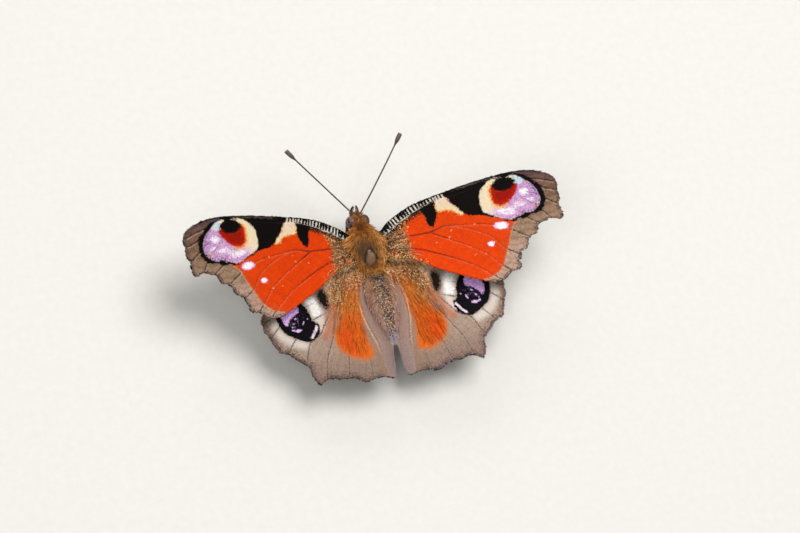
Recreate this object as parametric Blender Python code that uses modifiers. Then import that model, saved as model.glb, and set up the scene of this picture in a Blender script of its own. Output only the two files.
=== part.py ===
"""Peacock butterfly, life size, standing with its wings spread.

The head faces +Y, the wings reach out along X, and the soles of the feet
stand on z = 0. Sizes below are in millimetres, measured from the middle of
the thorax, and at() turns them into metres about the origin.
"""
import math

import bmesh
import bpy
from mathutils import Matrix, Vector
from mathutils.geometry import delaunay_2d_cdt

MM = 0.001
GAP = 0.3
FORWARD = 1.9
SIDES = {"left": -1.0, "right": 1.0}

# Thorax: height of its axis, then (y, half width, rise of the back, drop of the chest)
BODY_AXIS = 5.5
THORAX_STATIONS = [
    (3.3, 1.25, 1.30, 1.35),
    (2.7, 1.95, 1.85, 1.85),
    (1.7, 2.55, 2.30, 2.25),
    (0.3, 2.85, 2.50, 2.50),
    (-1.2, 2.80, 2.40, 2.50),
    (-2.4, 2.45, 2.00, 2.30),
    (-3.3, 2.00, 1.60, 1.85),
]
THORAX_SIDES = 28
THORAX_RINGS = 18
SCUTELLUM = (0.0, -1.9)
SCUTELLUM_SPREAD = (1.0, 0.8)
SCUTELLUM_RISE = 0.22

# Head, neck face and eyes
HEAD_CENTRE = (0.0, 4.65, 5.45)
HEAD_RADII = (1.35, 1.55, 1.3)
NECK_FACE = 3.6
EYE_CENTRE = (1.0, 4.95, 5.4)
EYE_RADII = (0.88, 0.98, 1.05)
EYE_BASE = 1.05

# Palps, proboscis and antennae
PALP_PATH = [(0.5, 6.3, 4.95), (0.52, 6.8, 5.15), (0.45, 7.3, 5.6), (0.34, 7.65, 6.15)]
PALP_RADII = [0.3, 0.31, 0.24, 0.12]
COIL_CENTRE = (0.0, 5.95, 3.25)
COIL_OUTER = 0.86
COIL_INNER = 0.32
COIL_TURNS = 1.35
COIL_TUBE = 0.26
COIL_START = math.radians(140)
ANTENNA_ROOT = (0.55, 5.55, 6.85)
ANTENNA_TIP = (8.9, 16.35, 8.8)
ANTENNA_BOW = 0.2
SHAFT_RADIUS = 0.25
CLUB_RADIUS = 0.36
CLUB_LENGTH = 2.4

# Abdomen, turned about its own axis: (y, half width) from the waist to the tip
ABDOMEN_FACE = -3.6
ABDOMEN_LENGTH = 11.4
ABDOMEN_AXIS_START = 5.35
ABDOMEN_DROOP = math.radians(1.5)
ABDOMEN_SWING = math.radians(1.5)
ABDOMEN_FLATNESS = 0.92
ABDOMEN_WIDTHS = [(0.0, 1.8), (1.2, 2.15), (3.2, 2.35), (5.0, 2.25), (7.0, 1.9), (9.0, 1.4), (10.4, 0.9), (11.4, 0.35)]
ABDOMEN_SEGMENTS = 7
SEGMENT_STEP = 0.13
ABDOMEN_SIDES = 24

# Wing plates: thickness of the membrane and over a vein
MEMBRANE = 0.5
VEIN_THICKNESS = 0.86
VEIN_HALF_WIDTH = 0.3
VEIN_STEP = 1.5
FILL_STEP = 1.9
ARC_POINTS = 5

# Forewing: leading edge from root to apex, scalloped margin, trailing edge
FORE_ROOT = (2.35, -1.9)
FORE_LEADING = [(4.6, 3.05), (6.5, 3.7), (8.5, 4.25), (11.0, 4.7), (15.0, 5.3), (18.5, 5.6),
                (22.0, 5.65), (25.2, 5.2), (27.1, 4.2)]
FORE_MARGIN = [
    ((28.4, 2.8), 0.08),
    ((28.4, 1.5), 0.2),
    ((28.4, -0.35), 0.25),
    ((28.7, -2.2), 0.0),
    ((27.0, -2.35), 0.1),
    ((24.9, -2.75), 0.3),
    ((22.9, -4.25), 0.3),
    ((21.35, -6.4), 0.3),
    ((20.0, -8.4), -0.12),
    ((18.1, -9.6), 0.0),
]
FORE_TRAILING = [(15.7, -9.2), (13.6, -8.15), (11.6, -7.0), (9.5, -5.75), (7.5, -4.45), (5.6, -3.2)]
FORE_VEINS = {
    "subcosta": [(4.2, 2.0), (7.6, 3.3), (11.5, 4.2), (15.5, 4.8), (19.0, 5.05)],
    "radius": [(3.6, 1.2), (6.4, 2.2), (10.0, 3.1), (15.0, 3.7), (20.0, 4.2), (25.2, 3.8), (28.1, 2.85)],
    "radius_4": [(20.0, 4.2), (24.2, 3.1), (28.1, 1.5)],
    "radius_5": [(14.0, 3.2), (20.5, 3.1), (25.2, 1.8), (28.1, -0.3)],
    "media_1": [(14.0, 3.2), (19.0, 2.5), (24.2, 0.9), (26.75, -2.15)],
    "media_2": [(13.4, 1.7), (18.5, 1.5), (22.7, -0.5), (24.7, -2.5)],
    "media_3": [(12.4, 0.35), (17.0, -0.5), (20.6, -2.4), (22.65, -4.1)],
    "cubitus": [(3.6, 0.2), (6.5, 0.2), (9.3, 0.15), (12.4, 0.35)],
    "cubitus_1": [(12.4, 0.35), (15.2, -0.9), (18.4, -3.5), (21.1, -6.25)],
    "cubitus_2": [(9.3, 0.15), (13.7, -2.8), (17.0, -5.6), (19.8, -8.2)],
    "anal": [(3.6, -1.1), (7.3, -2.2), (11.1, -4.1), (15.1, -6.8), (17.9, -9.35)],
}

# Hindwing: leading edge under the forewing, scalloped margin with its tail, inner edge
HIND_ROOT = (-0.9, -3.2)
HIND_LEADING = [(5.5, -1.2), (9.0, -2.3), (12.5, -4.0), (15.8, -6.3)]
HIND_MARGIN = [
    ((18.0, -9.2), -0.1),
    ((17.8, -12.0), 0.25),
    ((16.1, -14.5), 0.25),
    ((14.0, -16.5), 0.3),
    ((12.4, -19.75), 0.1),
    ((11.0, -19.15), 0.3),
    ((7.95, -19.5), 0.3),
    ((4.4, -20.2), 0.2),
    ((1.8, -20.2), 0.0),
]
HIND_INNER = [(1.25, -18.6), (0.95, -16.8)]
HIND_VEINS = {
    "subcosta": [(4.6, -2.3), (9.0, -4.0), (13.6, -6.4), (17.8, -9.3)],
    "media_1": [(9.3, -6.6), (13.2, -8.2), (16.4, -10.4), (17.65, -12.0)],
    "media_2": [(8.6, -7.6), (12.2, -9.9), (14.3, -12.5), (15.9, -14.3)],
    "media_3": [(8.2, -8.6), (10.9, -11.2), (12.7, -14.0), (13.8, -16.3)],
    "cubitus": [(4.4, -3.6), (6.3, -6.0), (8.2, -8.6)],
    "cubitus_1": [(7.3, -7.5), (8.7, -12.2), (10.4, -16.0), (10.95, -18.9)],
    "cubitus_2": [(5.4, -4.8), (6.0, -10.2), (7.3, -16.0), (7.9, -19.2)],
    "anal": [(3.9, -5.2), (4.1, -10.5), (4.3, -16.0), (4.4, -19.9)],
    "fold": [(3.5, -6.4), (3.4, -9.0), (2.7, -13.0), (2.2, -16.0), (2.5, -19.9)],
}
ABDOMEN_CLEARANCE = 0.32
FOLD_WIDTH = 1.4
FOLD_DROP = 0.6

# Legs: hip, thigh, knee, ankle, heel and toe of the right side, with the radius at each
SOLE_AXIS = 0.2
LEGS = {
    "foreleg": [(0.95, 2.15, None), (1.3, 2.9, 2.75), (1.4, 4.0, 2.6), (1.2, 5.3, 3.1), (1.1, 5.7, 3.45)],
    "midleg": [(1.0, 0.7, None), (1.5, 0.95, 2.3), (4.5, 2.2, 4.15), (6.9, 4.7, 0.55),
               (7.35, 5.25, SOLE_AXIS), (9.0, 7.5, SOLE_AXIS)],
    "hindleg": [(1.0, -1.5, None), (1.5, -1.8, 2.3), (4.4, -3.9, 4.15), (6.6, -7.4, 0.55),
                (6.95, -8.0, SOLE_AXIS), (8.0, -10.9, SOLE_AXIS)],
}
LEG_RADII = [0.42, 0.42, 0.34, 0.27, 0.28, 0.25]
THIGH_SWELL = 1.15
TARSUS_JOINTS = 5
TARSUS_WAIST = 0.82
CLAW_LENGTH = 0.5
CLAW_RADIUS = 0.1
FORELEG_RADII = [0.36, 0.34, 0.3, 0.27, 0.16]
CORNER = 0.35


def at(x, y, z):
    return Vector((x, y + FORWARD, z)) * MM


def clean_scene():
    for thing in list(bpy.data.objects):
        bpy.data.objects.remove(thing, do_unlink=True)


def collection(name):
    group = bpy.data.collections.new(name)
    bpy.context.scene.collection.children.link(group)
    return group


def material(name, rgb, roughness):
    finish = bpy.data.materials.new(name)
    finish.use_nodes = True
    shader = finish.node_tree.nodes["Principled BSDF"]
    shader.inputs["Base Color"].default_value = (*rgb, 1.0)
    shader.inputs["Roughness"].default_value = roughness
    return finish


def add_object(name, mesh, group, finish=None, smooth_angle=40.0):
    thing = bpy.data.objects.new(name, mesh)
    group.objects.link(thing)
    if finish is not None:
        mesh.materials.append(finish)
    mesh.shade_smooth()
    mesh.set_sharp_from_angle(angle=math.radians(smooth_angle))
    return thing


def ramp(value, low, high):
    """Smooth step from 0 at low to 1 at high."""
    part = min(1.0, max(0.0, (value - low) / (high - low)))
    return part * part * (3.0 - 2.0 * part)


def between(stations, place):
    """Straight interpolation in a list of (place, value, ...) rows, in either order."""
    rows = sorted(stations)
    if place <= rows[0][0]:
        return rows[0][1:]
    for low, high in zip(rows, rows[1:]):
        if place <= high[0]:
            part = (place - low[0]) / (high[0] - low[0])
            return tuple(a + (b - a) * part for a, b in zip(low[1:], high[1:]))
    return rows[-1][1:]


def smooth_path(points, step):
    """Points at equal distances along a smooth curve through the given ones."""
    nodes = [Vector(p) for p in points]
    nodes = [nodes[0] * 2 - nodes[1], *nodes, nodes[-1] * 2 - nodes[-2]]
    dense = []
    for a, b, c, d in zip(nodes, nodes[1:], nodes[2:], nodes[3:]):
        for i in range(12):
            t = i / 12.0
            dense.append(0.5 * (2 * b + (c - a) * t + (2 * a - 5 * b + 4 * c - d) * t ** 2
                                + (3 * b - a - 3 * c + d) * t ** 3))
    dense.append(nodes[-2].copy())
    return spaced(dense, step)


def spaced(dense, step):
    """The same path with its points evenly spaced, about step apart."""
    reach = [0.0]
    for a, b in zip(dense, dense[1:]):
        reach.append(reach[-1] + (b - a).length)
    count = max(1, round(reach[-1] / step))
    result = []
    index = 0
    for i in range(count + 1):
        goal = reach[-1] * i / count
        while index < len(reach) - 2 and reach[index + 1] < goal:
            index += 1
        span = reach[index + 1] - reach[index]
        part = (goal - reach[index]) / span if span else 0.0
        result.append(dense[index].lerp(dense[index + 1], part))
    return result


def tube(name, path, radii, group, finish):
    """A closed tube through points in millimetres, with its own radius at each point."""
    curve = bpy.data.curves.new(name, "CURVE")
    curve.dimensions = "3D"
    curve.bevel_depth = MM
    curve.bevel_resolution = 2
    curve.use_fill_caps = True
    spline = curve.splines.new("POLY")
    spline.points.add(len(path) - 1)
    for point, place, radius in zip(spline.points, path, radii):
        point.co = (*at(*place), 1.0)
        point.radius = radius
    guide = bpy.data.objects.new(name + "_guide", curve)
    group.objects.link(guide)
    bpy.context.view_layer.update()
    mesh = bpy.data.meshes.new_from_object(guide.evaluated_get(bpy.context.evaluated_depsgraph_get()))
    bpy.data.objects.remove(guide, do_unlink=True)
    shape = bmesh.new()
    shape.from_mesh(mesh)
    bmesh.ops.remove_doubles(shape, verts=shape.verts, dist=0.00001)
    shape.to_mesh(mesh)
    shape.free()
    mesh.materials.clear()
    return add_object(name, mesh, group, finish)


def cut_flat(mesh, place, direction):
    """Cut a mesh with a plane, drop what lies along the direction and close the cut."""
    shape = bmesh.new()
    shape.from_mesh(mesh)
    everything = shape.verts[:] + shape.edges[:] + shape.faces[:]
    bmesh.ops.bisect_plane(shape, geom=everything, dist=0.0000001, plane_co=place,
                           plane_no=direction, clear_outer=True)
    rim = [edge for edge in shape.edges if edge.is_boundary]
    bmesh.ops.holes_fill(shape, edges=rim, sides=0)
    bmesh.ops.recalc_face_normals(shape, faces=shape.faces)
    shape.to_mesh(mesh)
    shape.free()


def ellipsoid(name, centre, radii, rings):
    mesh = bpy.data.meshes.new(name)
    shape = bmesh.new()
    size = Matrix.Diagonal((radii[0] * MM, radii[1] * MM, radii[2] * MM, 1.0))
    bmesh.ops.create_uvsphere(shape, u_segments=2 * rings, v_segments=rings, radius=1.0,
                              matrix=Matrix.Translation(at(*centre)) @ size)
    shape.to_mesh(mesh)
    shape.free()
    return mesh


def thorax_half(y):
    """Half width, rise and drop of the thorax at y."""
    path = smooth_path([Vector(row[:3]) for row in THORAX_STATIONS], 0.25)
    drops = smooth_path([Vector((row[0], row[3], 0.0)) for row in THORAX_STATIONS], 0.25)
    width, rise = between([tuple(p) for p in path], y)
    drop = between([tuple(p) for p in drops], y)[0]
    return width, rise, drop


def thorax_side(y, z):
    """Where the flank of the thorax is at height z."""
    width, rise, drop = thorax_half(y)
    height = z - BODY_AXIS
    reach = height / (rise if height > 0 else drop)
    return width * math.sqrt(max(0.0, 1.0 - reach * reach))


def thorax_under(x, y):
    """Height of the chest at x."""
    width, _, drop = thorax_half(y)
    return BODY_AXIS - drop * math.sqrt(max(0.0, 1.0 - (x / width) ** 2))


def build_thorax(group, finish):
    shape = bmesh.new()
    front = THORAX_STATIONS[0][0]
    back = THORAX_STATIONS[-1][0]
    rings = []
    for i in range(THORAX_RINGS + 1):
        y = front + (back - front) * i / THORAX_RINGS
        width, rise, drop = thorax_half(y)
        ring = []
        for k in range(THORAX_SIDES):
            turn = 2.0 * math.pi * k / THORAX_SIDES
            height = math.sin(turn)
            lift = rise if height > 0 else drop
            x = width * math.cos(turn)
            z = BODY_AXIS + lift * height
            if height > 0:
                away = ((x - SCUTELLUM[0]) / SCUTELLUM_SPREAD[0]) ** 2 + ((y - SCUTELLUM[1]) / SCUTELLUM_SPREAD[1]) ** 2
                z += SCUTELLUM_RISE * math.exp(-away)
            ring.append(shape.verts.new(at(x, y, z)))
        rings.append(ring)
    bridge(shape, rings)
    return add_object("thorax", finish_shape(shape, "thorax"), group, finish)


def bridge(shape, rings):
    """Join rings of equally many points into a closed body with flat ends."""
    count = len(rings[0])
    for near, far in zip(rings, rings[1:]):
        for k in range(count):
            following = (k + 1) % count
            shape.faces.new((near[k], near[following], far[following], far[k]))
    shape.faces.new(rings[0])
    shape.faces.new(rings[-1])


def finish_shape(shape, name):
    bmesh.ops.recalc_face_normals(shape, faces=shape.faces)
    mesh = bpy.data.meshes.new(name)
    shape.to_mesh(mesh)
    shape.free()
    return mesh


def build_head(group, cutters, finish):
    mesh = ellipsoid("head", HEAD_CENTRE, HEAD_RADII, 12)
    cut_flat(mesh, at(0.0, NECK_FACE, 0.0), Vector((0.0, -1.0, 0.0)))
    head = add_object("head", mesh, group, finish)
    for side, sign in SIDES.items():
        wide = tuple(radius + GAP for radius in EYE_RADII)
        socket = ellipsoid("socket_" + side, (sign * EYE_CENTRE[0], *EYE_CENTRE[1:]), wide, 10)
        cut_flat(socket, at(sign * (EYE_BASE - GAP), 0.0, 0.0), Vector((-sign, 0.0, 0.0)))
        cutter = add_object("socket_" + side, socket, cutters)
        cutter.hide_render = True
        cutter.display_type = "WIRE"
        cut = head.modifiers.new("eye socket " + side, "BOOLEAN")
        cut.operation = "DIFFERENCE"
        cut.object = cutter


def build_eye(side, sign, group, finish):
    mesh = ellipsoid("eye_" + side, (sign * EYE_CENTRE[0], *EYE_CENTRE[1:]), EYE_RADII, 10)
    cut_flat(mesh, at(sign * EYE_BASE, 0.0, 0.0), Vector((-sign, 0.0, 0.0)))
    add_object("eye_" + side, mesh, group, finish)


def build_palp(side, sign, group, finish):
    path = [(sign * x, y, z) for x, y, z in PALP_PATH]
    tube("palp_" + side, path, PALP_RADII, group, finish)


def build_proboscis(group, finish):
    """A watch-spring coil in the middle plane, its outer end at the mouth."""
    path = []
    radii = []
    count = 20
    for i in range(count + 1):
        part = i / count
        turn = COIL_START - part * COIL_TURNS * 2.0 * math.pi
        reach = COIL_OUTER + (COIL_INNER - COIL_OUTER) * part - COIL_TUBE
        path.append((0.0, COIL_CENTRE[1] + reach * math.cos(turn), COIL_CENTRE[2] + reach * math.sin(turn)))
        radii.append(COIL_TUBE * (1.0 - 0.55 * part))
    tube("proboscis", path, radii, group, finish)


def build_antenna(side, sign, group, finish):
    root = Vector((sign * ANTENNA_ROOT[0], *ANTENNA_ROOT[1:]))
    tip = Vector((sign * ANTENNA_TIP[0], *ANTENNA_TIP[1:]))
    length = (tip - root).length
    path = []
    radii = []
    shaft_count = 7
    club_count = 6
    reaches = [(length - CLUB_LENGTH) * i / shaft_count for i in range(shaft_count)]
    reaches += [length - CLUB_LENGTH * (1.0 - i / club_count) for i in range(club_count + 1)]
    for reach in reaches:
        part = reach / length
        place = root.lerp(tip, part)
        place.z += ANTENNA_BOW * math.sin(math.pi * part)
        path.append(tuple(place))
        swell = ramp(reach, length - CLUB_LENGTH, length - 0.55 * CLUB_LENGTH)
        close = ramp(reach, length - 0.12 * CLUB_LENGTH, length)
        radii.append(SHAFT_RADIUS + (CLUB_RADIUS - SHAFT_RADIUS) * swell - 0.14 * close)
    tube("antenna_" + side, path, radii, group, finish)


def abdomen_half(y):
    """Half width of the abdomen at y, without the steps between its rings."""
    path = smooth_path([Vector((row[0], row[1], 0.0)) for row in ABDOMEN_WIDTHS], 0.25)
    return between([tuple(p) for p in path], ABDOMEN_FACE - y)[0]


def build_abdomen(group, finish):
    """Turned rings, each a little wider at its rear edge, ending in a rounded tip."""
    profile = [(0.0, 0.0)]
    length = ABDOMEN_LENGTH / ABDOMEN_SEGMENTS
    for segment in range(ABDOMEN_SEGMENTS):
        for part, step in ((0.02, 0.0), (0.4, 0.75), (0.88, 1.0)):
            along = (segment + part) * length
            width = abdomen_half(ABDOMEN_FACE - along)
            profile.append((width - SEGMENT_STEP * (1.0 - step), along))
    profile.append((0.3, ABDOMEN_LENGTH))
    profile.append((0.0, ABDOMEN_LENGTH + 0.05))
    mesh = bpy.data.meshes.new("abdomen")
    points = [(width * MM, 0.0, -along * MM) for width, along in profile]
    mesh.from_pydata(points, [(i, i + 1) for i in range(len(points) - 1)], [])
    abdomen = add_object("abdomen", mesh, group, finish)
    turn = abdomen.modifiers.new("turned", "SCREW")
    turn.steps = ABDOMEN_SIDES
    turn.render_steps = ABDOMEN_SIDES
    turn.use_merge_vertices = True
    turn.merge_threshold = 0.00001
    turn.use_smooth_shade = True
    abdomen.scale = (1.0, ABDOMEN_FLATNESS, 1.0)
    abdomen.rotation_euler = (ABDOMEN_DROOP - math.pi / 2.0, 0.0, ABDOMEN_SWING)
    abdomen.location = at(0.0, ABDOMEN_FACE, ABDOMEN_AXIS_START)


def fore_lift(x, y):
    """Height of the forewing's middle surface: raised outwards, leading edge up, slightly dished."""
    pitch = 0.04 + 0.15 * ramp(x, 3.0, 11.0)
    front = 5.8 - 0.011 * (x - 19.0) ** 2
    rear = -2.2 - 0.48 * (x - 3.0) if x < 18.0 else -9.4 + 0.7 * (x - 18.0)
    chord = (y - rear) / (front - rear) * 2.0 - 1.0
    dish = 0.55 * (chord * chord - 0.4) * ramp(x, 3.0, 12.0)
    return 6.75 + 0.24 * (x - 3.0) + pitch * y + dish


def inner_edge(y):
    """Where the hindwing's inner edge runs beside the abdomen, or behind it."""
    swing = max(0.0, ABDOMEN_FACE - y) * math.tan(ABDOMEN_SWING)
    beside = abdomen_half(y) + swing + ABDOMEN_CLEARANCE
    if y > ABDOMEN_FACE - ABDOMEN_LENGTH:
        return max(beside, HIND_INNER[-1][0])
    return between([(p[1], p[0]) for p in HIND_INNER + [HIND_MARGIN[-1][0]]], y)[0]


def hind_lift(x, y):
    """Height of the hindwing's middle surface: nearly level, its inner strip folded down."""
    root = 0.3 * (1.0 - ramp(x, 3.0, 7.0)) * ramp(y, -6.0, -3.0)
    strip = max(0.0, 1.0 - (x - inner_edge(y)) / FOLD_WIDTH) * ramp(-y, 4.0, 6.5)
    return 5.7 + 0.04 * (x - 3.0) - root - FOLD_DROP * min(1.0, strip) ** 1.5


def scalloped(margin):
    """The outer margin: its corners, with a shallow arc from each to the next."""
    path = []
    for (corner, depth), (following, _) in zip(margin, margin[1:]):
        start = Vector(corner)
        chord = Vector(following) - start
        inward = Vector((chord.y, -chord.x)).normalized()
        for i in range(ARC_POINTS):
            part = i / ARC_POINTS
            path.append(start + chord * part + inward * depth * 4.0 * part * (1.0 - part))
    path.append(Vector(margin[-1][0]))
    return path


def fore_outline():
    front, back = FORE_ROOT
    root = []
    for i in range(4):
        y = back + (front - back) * i / 3.0
        low = fore_lift(3.0, y) - VEIN_THICKNESS / 2.0
        root.append(Vector((thorax_side(y, low) + GAP, y)))
    leading = smooth_path([root[-1], *FORE_LEADING, FORE_MARGIN[0][0]], 1.6)
    trailing = smooth_path([FORE_MARGIN[-1][0], *FORE_TRAILING, root[0]], 1.9)
    return root[:-1] + leading[:-1] + scalloped(FORE_MARGIN) + trailing[1:-1]


def hind_outline():
    front, back = HIND_ROOT
    root = []
    for i in range(3):
        y = back + (front - back) * i / 2.0
        root.append(Vector((thorax_side(y, hind_lift(3.0, y) + 0.1) + GAP + 0.05, y)))
    leading = smooth_path([root[-1], *HIND_LEADING, HIND_MARGIN[0][0]], 1.9)
    inner = smooth_path([HIND_MARGIN[-1][0], *HIND_INNER], 1.4)
    start = HIND_INNER[-1][1]
    beside = []
    count = 8
    for i in range(1, count + 1):
        y = start + (ABDOMEN_FACE - 0.2 - start) * i / count
        beside.append(Vector((inner_edge(y), y)))
    return root[:-1] + leading[:-1] + scalloped(HIND_MARGIN) + inner[1:] + beside


def nearest(point, paths):
    """Distance from a point to the closest of several paths."""
    best = 1000.0
    for path in paths:
        for a, b in zip(path, path[1:]):
            span = b - a
            part = min(1.0, max(0.0, (point - a).dot(span) / span.length_squared))
            best = min(best, (a + span * part - point).length)
    return best


def is_inside(point, outline):
    inside = False
    for a, b in zip(outline, outline[1:] + outline[:1]):
        if (a.y > point.y) != (b.y > point.y):
            if point.x < a.x + (point.y - a.y) / (b.y - a.y) * (b.x - a.x):
                inside = not inside
    return inside


def build_wing(name, sign, outline, veins, lift, group, finish):
    """One plate split into triangles once, so both faces match, with its veins raised."""
    points = list(outline)
    edges = []
    paths = [smooth_path([Vector(p) for p in path], VEIN_STEP) for path in veins.values()]
    rim = [outline + outline[:1]]
    for path in paths:
        for shift in (-VEIN_HALF_WIDTH, 0.0, VEIN_HALF_WIDTH):
            chain = []
            for i, place in enumerate(path):
                ahead = path[min(i + 1, len(path) - 1)] - path[max(i - 1, 0)]
                across = Vector((-ahead.y, ahead.x)).normalized()
                moved = place + across * shift
                if shift and nearest(moved, rim) < 0.5:
                    continue
                chain.append(moved)
            first = len(points)
            points.extend(chain)
            edges.extend((first + i, first + i + 1) for i in range(len(chain) - 1))
    low_x = min(p.x for p in outline)
    low_y = min(p.y for p in outline)
    row = 0
    while low_y + row * FILL_STEP < 8.0:
        column = 0
        while low_x + column * FILL_STEP < 30.0:
            spot = Vector((low_x + (column + 0.5 * (row % 2)) * FILL_STEP, low_y + row * FILL_STEP))
            if is_inside(spot, outline) and nearest(spot, rim + paths) > 0.4 * FILL_STEP:
                points.append(spot)
            column += 1
        row += 1
    flat, _, faces, _, _, _ = delaunay_2d_cdt(points, edges, [list(range(len(outline)))], 1, 0.05)
    mesh = bpy.data.meshes.new(name)
    mesh.from_pydata([at(sign * p.x, p.y, lift(p.x, p.y)) for p in flat], [], faces)
    wing = add_object(name, mesh, group, finish, 60.0)
    ridge = wing.vertex_groups.new(name="vein")
    for i, place in enumerate(flat):
        if nearest(place, paths) < 0.1:
            ridge.add([i], 1.0, "REPLACE")
    plate = wing.modifiers.new("plate", "SOLIDIFY")
    plate.thickness = VEIN_THICKNESS * MM
    plate.offset = 0.0
    plate.vertex_group = "vein"
    plate.thickness_vertex_group = MEMBRANE / VEIN_THICKNESS
    split = wing.modifiers.new("triangles", "TRIANGULATE")
    split.quad_method = "FIXED"


def rounded(path, radii):
    """A bent path with each corner cut by two points."""
    places = [Vector(p) for p in path]
    result = [places[0]]
    widths = [radii[0]]
    for i in range(1, len(places) - 1):
        for other in (i - 1, i + 1):
            span = places[other] - places[i]
            reach = min(CORNER, 0.3 * span.length)
            result.append(places[i] + span.normalized() * reach)
            widths.append(radii[i])
    result.append(places[-1])
    widths.append(radii[-1])
    return result, widths


def jointed(path, widths):
    """Swell the thigh, ring the tarsus with its short joints and end it in a claw."""
    hip_count = 3
    thigh = path[hip_count - 1].lerp(path[hip_count], 0.4)
    heel, toe = path[-2], path[-1]
    result = [*path[:hip_count], thigh, *path[hip_count:-1]]
    radii = [*widths[:hip_count], widths[hip_count] * THIGH_SWELL, *widths[hip_count:-1]]
    for i in range(1, TARSUS_JOINTS + 1):
        end = heel.lerp(toe, i / TARSUS_JOINTS)
        radius = widths[-2] + (widths[-1] - widths[-2]) * i / TARSUS_JOINTS
        result.append(end)
        radii.append(radius)
        if i < TARSUS_JOINTS:
            result.append(heel.lerp(toe, (i + 0.2) / TARSUS_JOINTS))
            radii.append(radius * TARSUS_WAIST)
    result.append(toe + (toe - heel).normalized() * CLAW_LENGTH)
    radii.append(CLAW_RADIUS)
    return result, radii


def build_leg(name, side, sign, group, finish):
    hip, *rest = LEGS[name]
    radii = FORELEG_RADII if name == "foreleg" else LEG_RADII
    root = (hip[0], hip[1], thorax_under(hip[0], hip[1]) - GAP)
    path, widths = rounded([root, *rest], radii)
    if name != "foreleg":
        path, widths = jointed(path, widths)
    leg = tube(name + "_" + side, [(sign * p.x, p.y, p.z) for p in path], widths, group, finish)
    if name != "foreleg":
        cut_flat(leg.data, Vector((0.0, 0.0, 0.0)), Vector((0.0, 0.0, -1.0)))


def main():
    clean_scene()
    butterfly = collection("peacock_butterfly")
    cutters = collection("cutters")
    fur = material("golden brown fur", (0.21, 0.09, 0.025), 0.9)
    scales = material("dark grey brown scales", (0.06, 0.045, 0.045), 0.8)
    red = material("orange red wing scales", (0.75, 0.09, 0.005), 0.7)
    brown = material("grey brown wing scales", (0.22, 0.15, 0.11), 0.75)
    horn = material("dark brown horn", (0.05, 0.03, 0.02), 0.5)
    facet = material("purple brown eye", (0.05, 0.02, 0.03), 0.25)
    build_thorax(butterfly, fur)
    build_head(butterfly, cutters, fur)
    build_abdomen(butterfly, scales)
    build_proboscis(butterfly, horn)
    fore = fore_outline()
    hind = hind_outline()
    for side, sign in SIDES.items():
        build_eye(side, sign, butterfly, facet)
        build_palp(side, sign, butterfly, fur)
        build_antenna(side, sign, butterfly, horn)
        build_wing("forewing_" + side, sign, fore, FORE_VEINS, fore_lift, butterfly, red)
        build_wing("hindwing_" + side, sign, hind, HIND_VEINS, hind_lift, butterfly, brown)
        for name in LEGS:
            build_leg(name, side, sign, butterfly, horn)


main()
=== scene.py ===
import math

import bmesh
import bpy
import numpy as np
from bpy.props import FloatProperty, FloatVectorProperty, IntProperty, PointerProperty
from mathutils import Matrix, Vector
from mathutils.geometry import delaunay_2d_cdt


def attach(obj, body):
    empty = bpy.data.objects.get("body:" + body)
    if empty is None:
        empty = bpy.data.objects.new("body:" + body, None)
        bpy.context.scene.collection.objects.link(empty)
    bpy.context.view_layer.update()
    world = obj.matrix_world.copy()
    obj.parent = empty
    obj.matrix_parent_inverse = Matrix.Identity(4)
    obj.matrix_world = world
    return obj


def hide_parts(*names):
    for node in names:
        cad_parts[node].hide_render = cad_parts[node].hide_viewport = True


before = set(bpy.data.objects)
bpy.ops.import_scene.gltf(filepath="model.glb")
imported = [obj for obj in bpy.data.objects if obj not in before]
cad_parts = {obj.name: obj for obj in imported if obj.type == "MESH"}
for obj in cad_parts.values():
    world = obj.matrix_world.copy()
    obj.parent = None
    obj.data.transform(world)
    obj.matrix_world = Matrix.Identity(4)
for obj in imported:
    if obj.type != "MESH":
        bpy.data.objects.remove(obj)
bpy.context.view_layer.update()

bl_info = {
    "name": "Peacock butterfly",
    "version": (1, 0, 0),
    "blender": (4, 5, 0),
    "location": "3D View > Sidebar > Butterfly",
    "description": "Builds a life size peacock butterfly with spread wings, scale by scale",
    "category": "Object",
}

# The butterfly is drawn in millimetres about the middle of its thorax: x outwards or to its
# right, y towards the head, z up from the ground. place() turns that into metres in the frame.
MM = 0.001
FORWARD = 1.9
SIDES = {"left": -1.0, "right": 1.0}
BODY = "root"
TUFT_PATCH = 0.003

# Photograph: size of the picture, where the middle of the thorax is in it, and the camera
PICTURE = (800.0, 533.0)
THORAX_PIXEL = (367.0, 250.0)
BODY_AXIS = 5.5
AWAY = (-0.28, -0.38, 0.8816)
CAMERA_DISTANCE = 550.0
PIXELS_PER_MM = 6.76
RIGHT_IN_PICTURE = (0.987, 0.158)
SENSOR = 36.0

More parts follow.
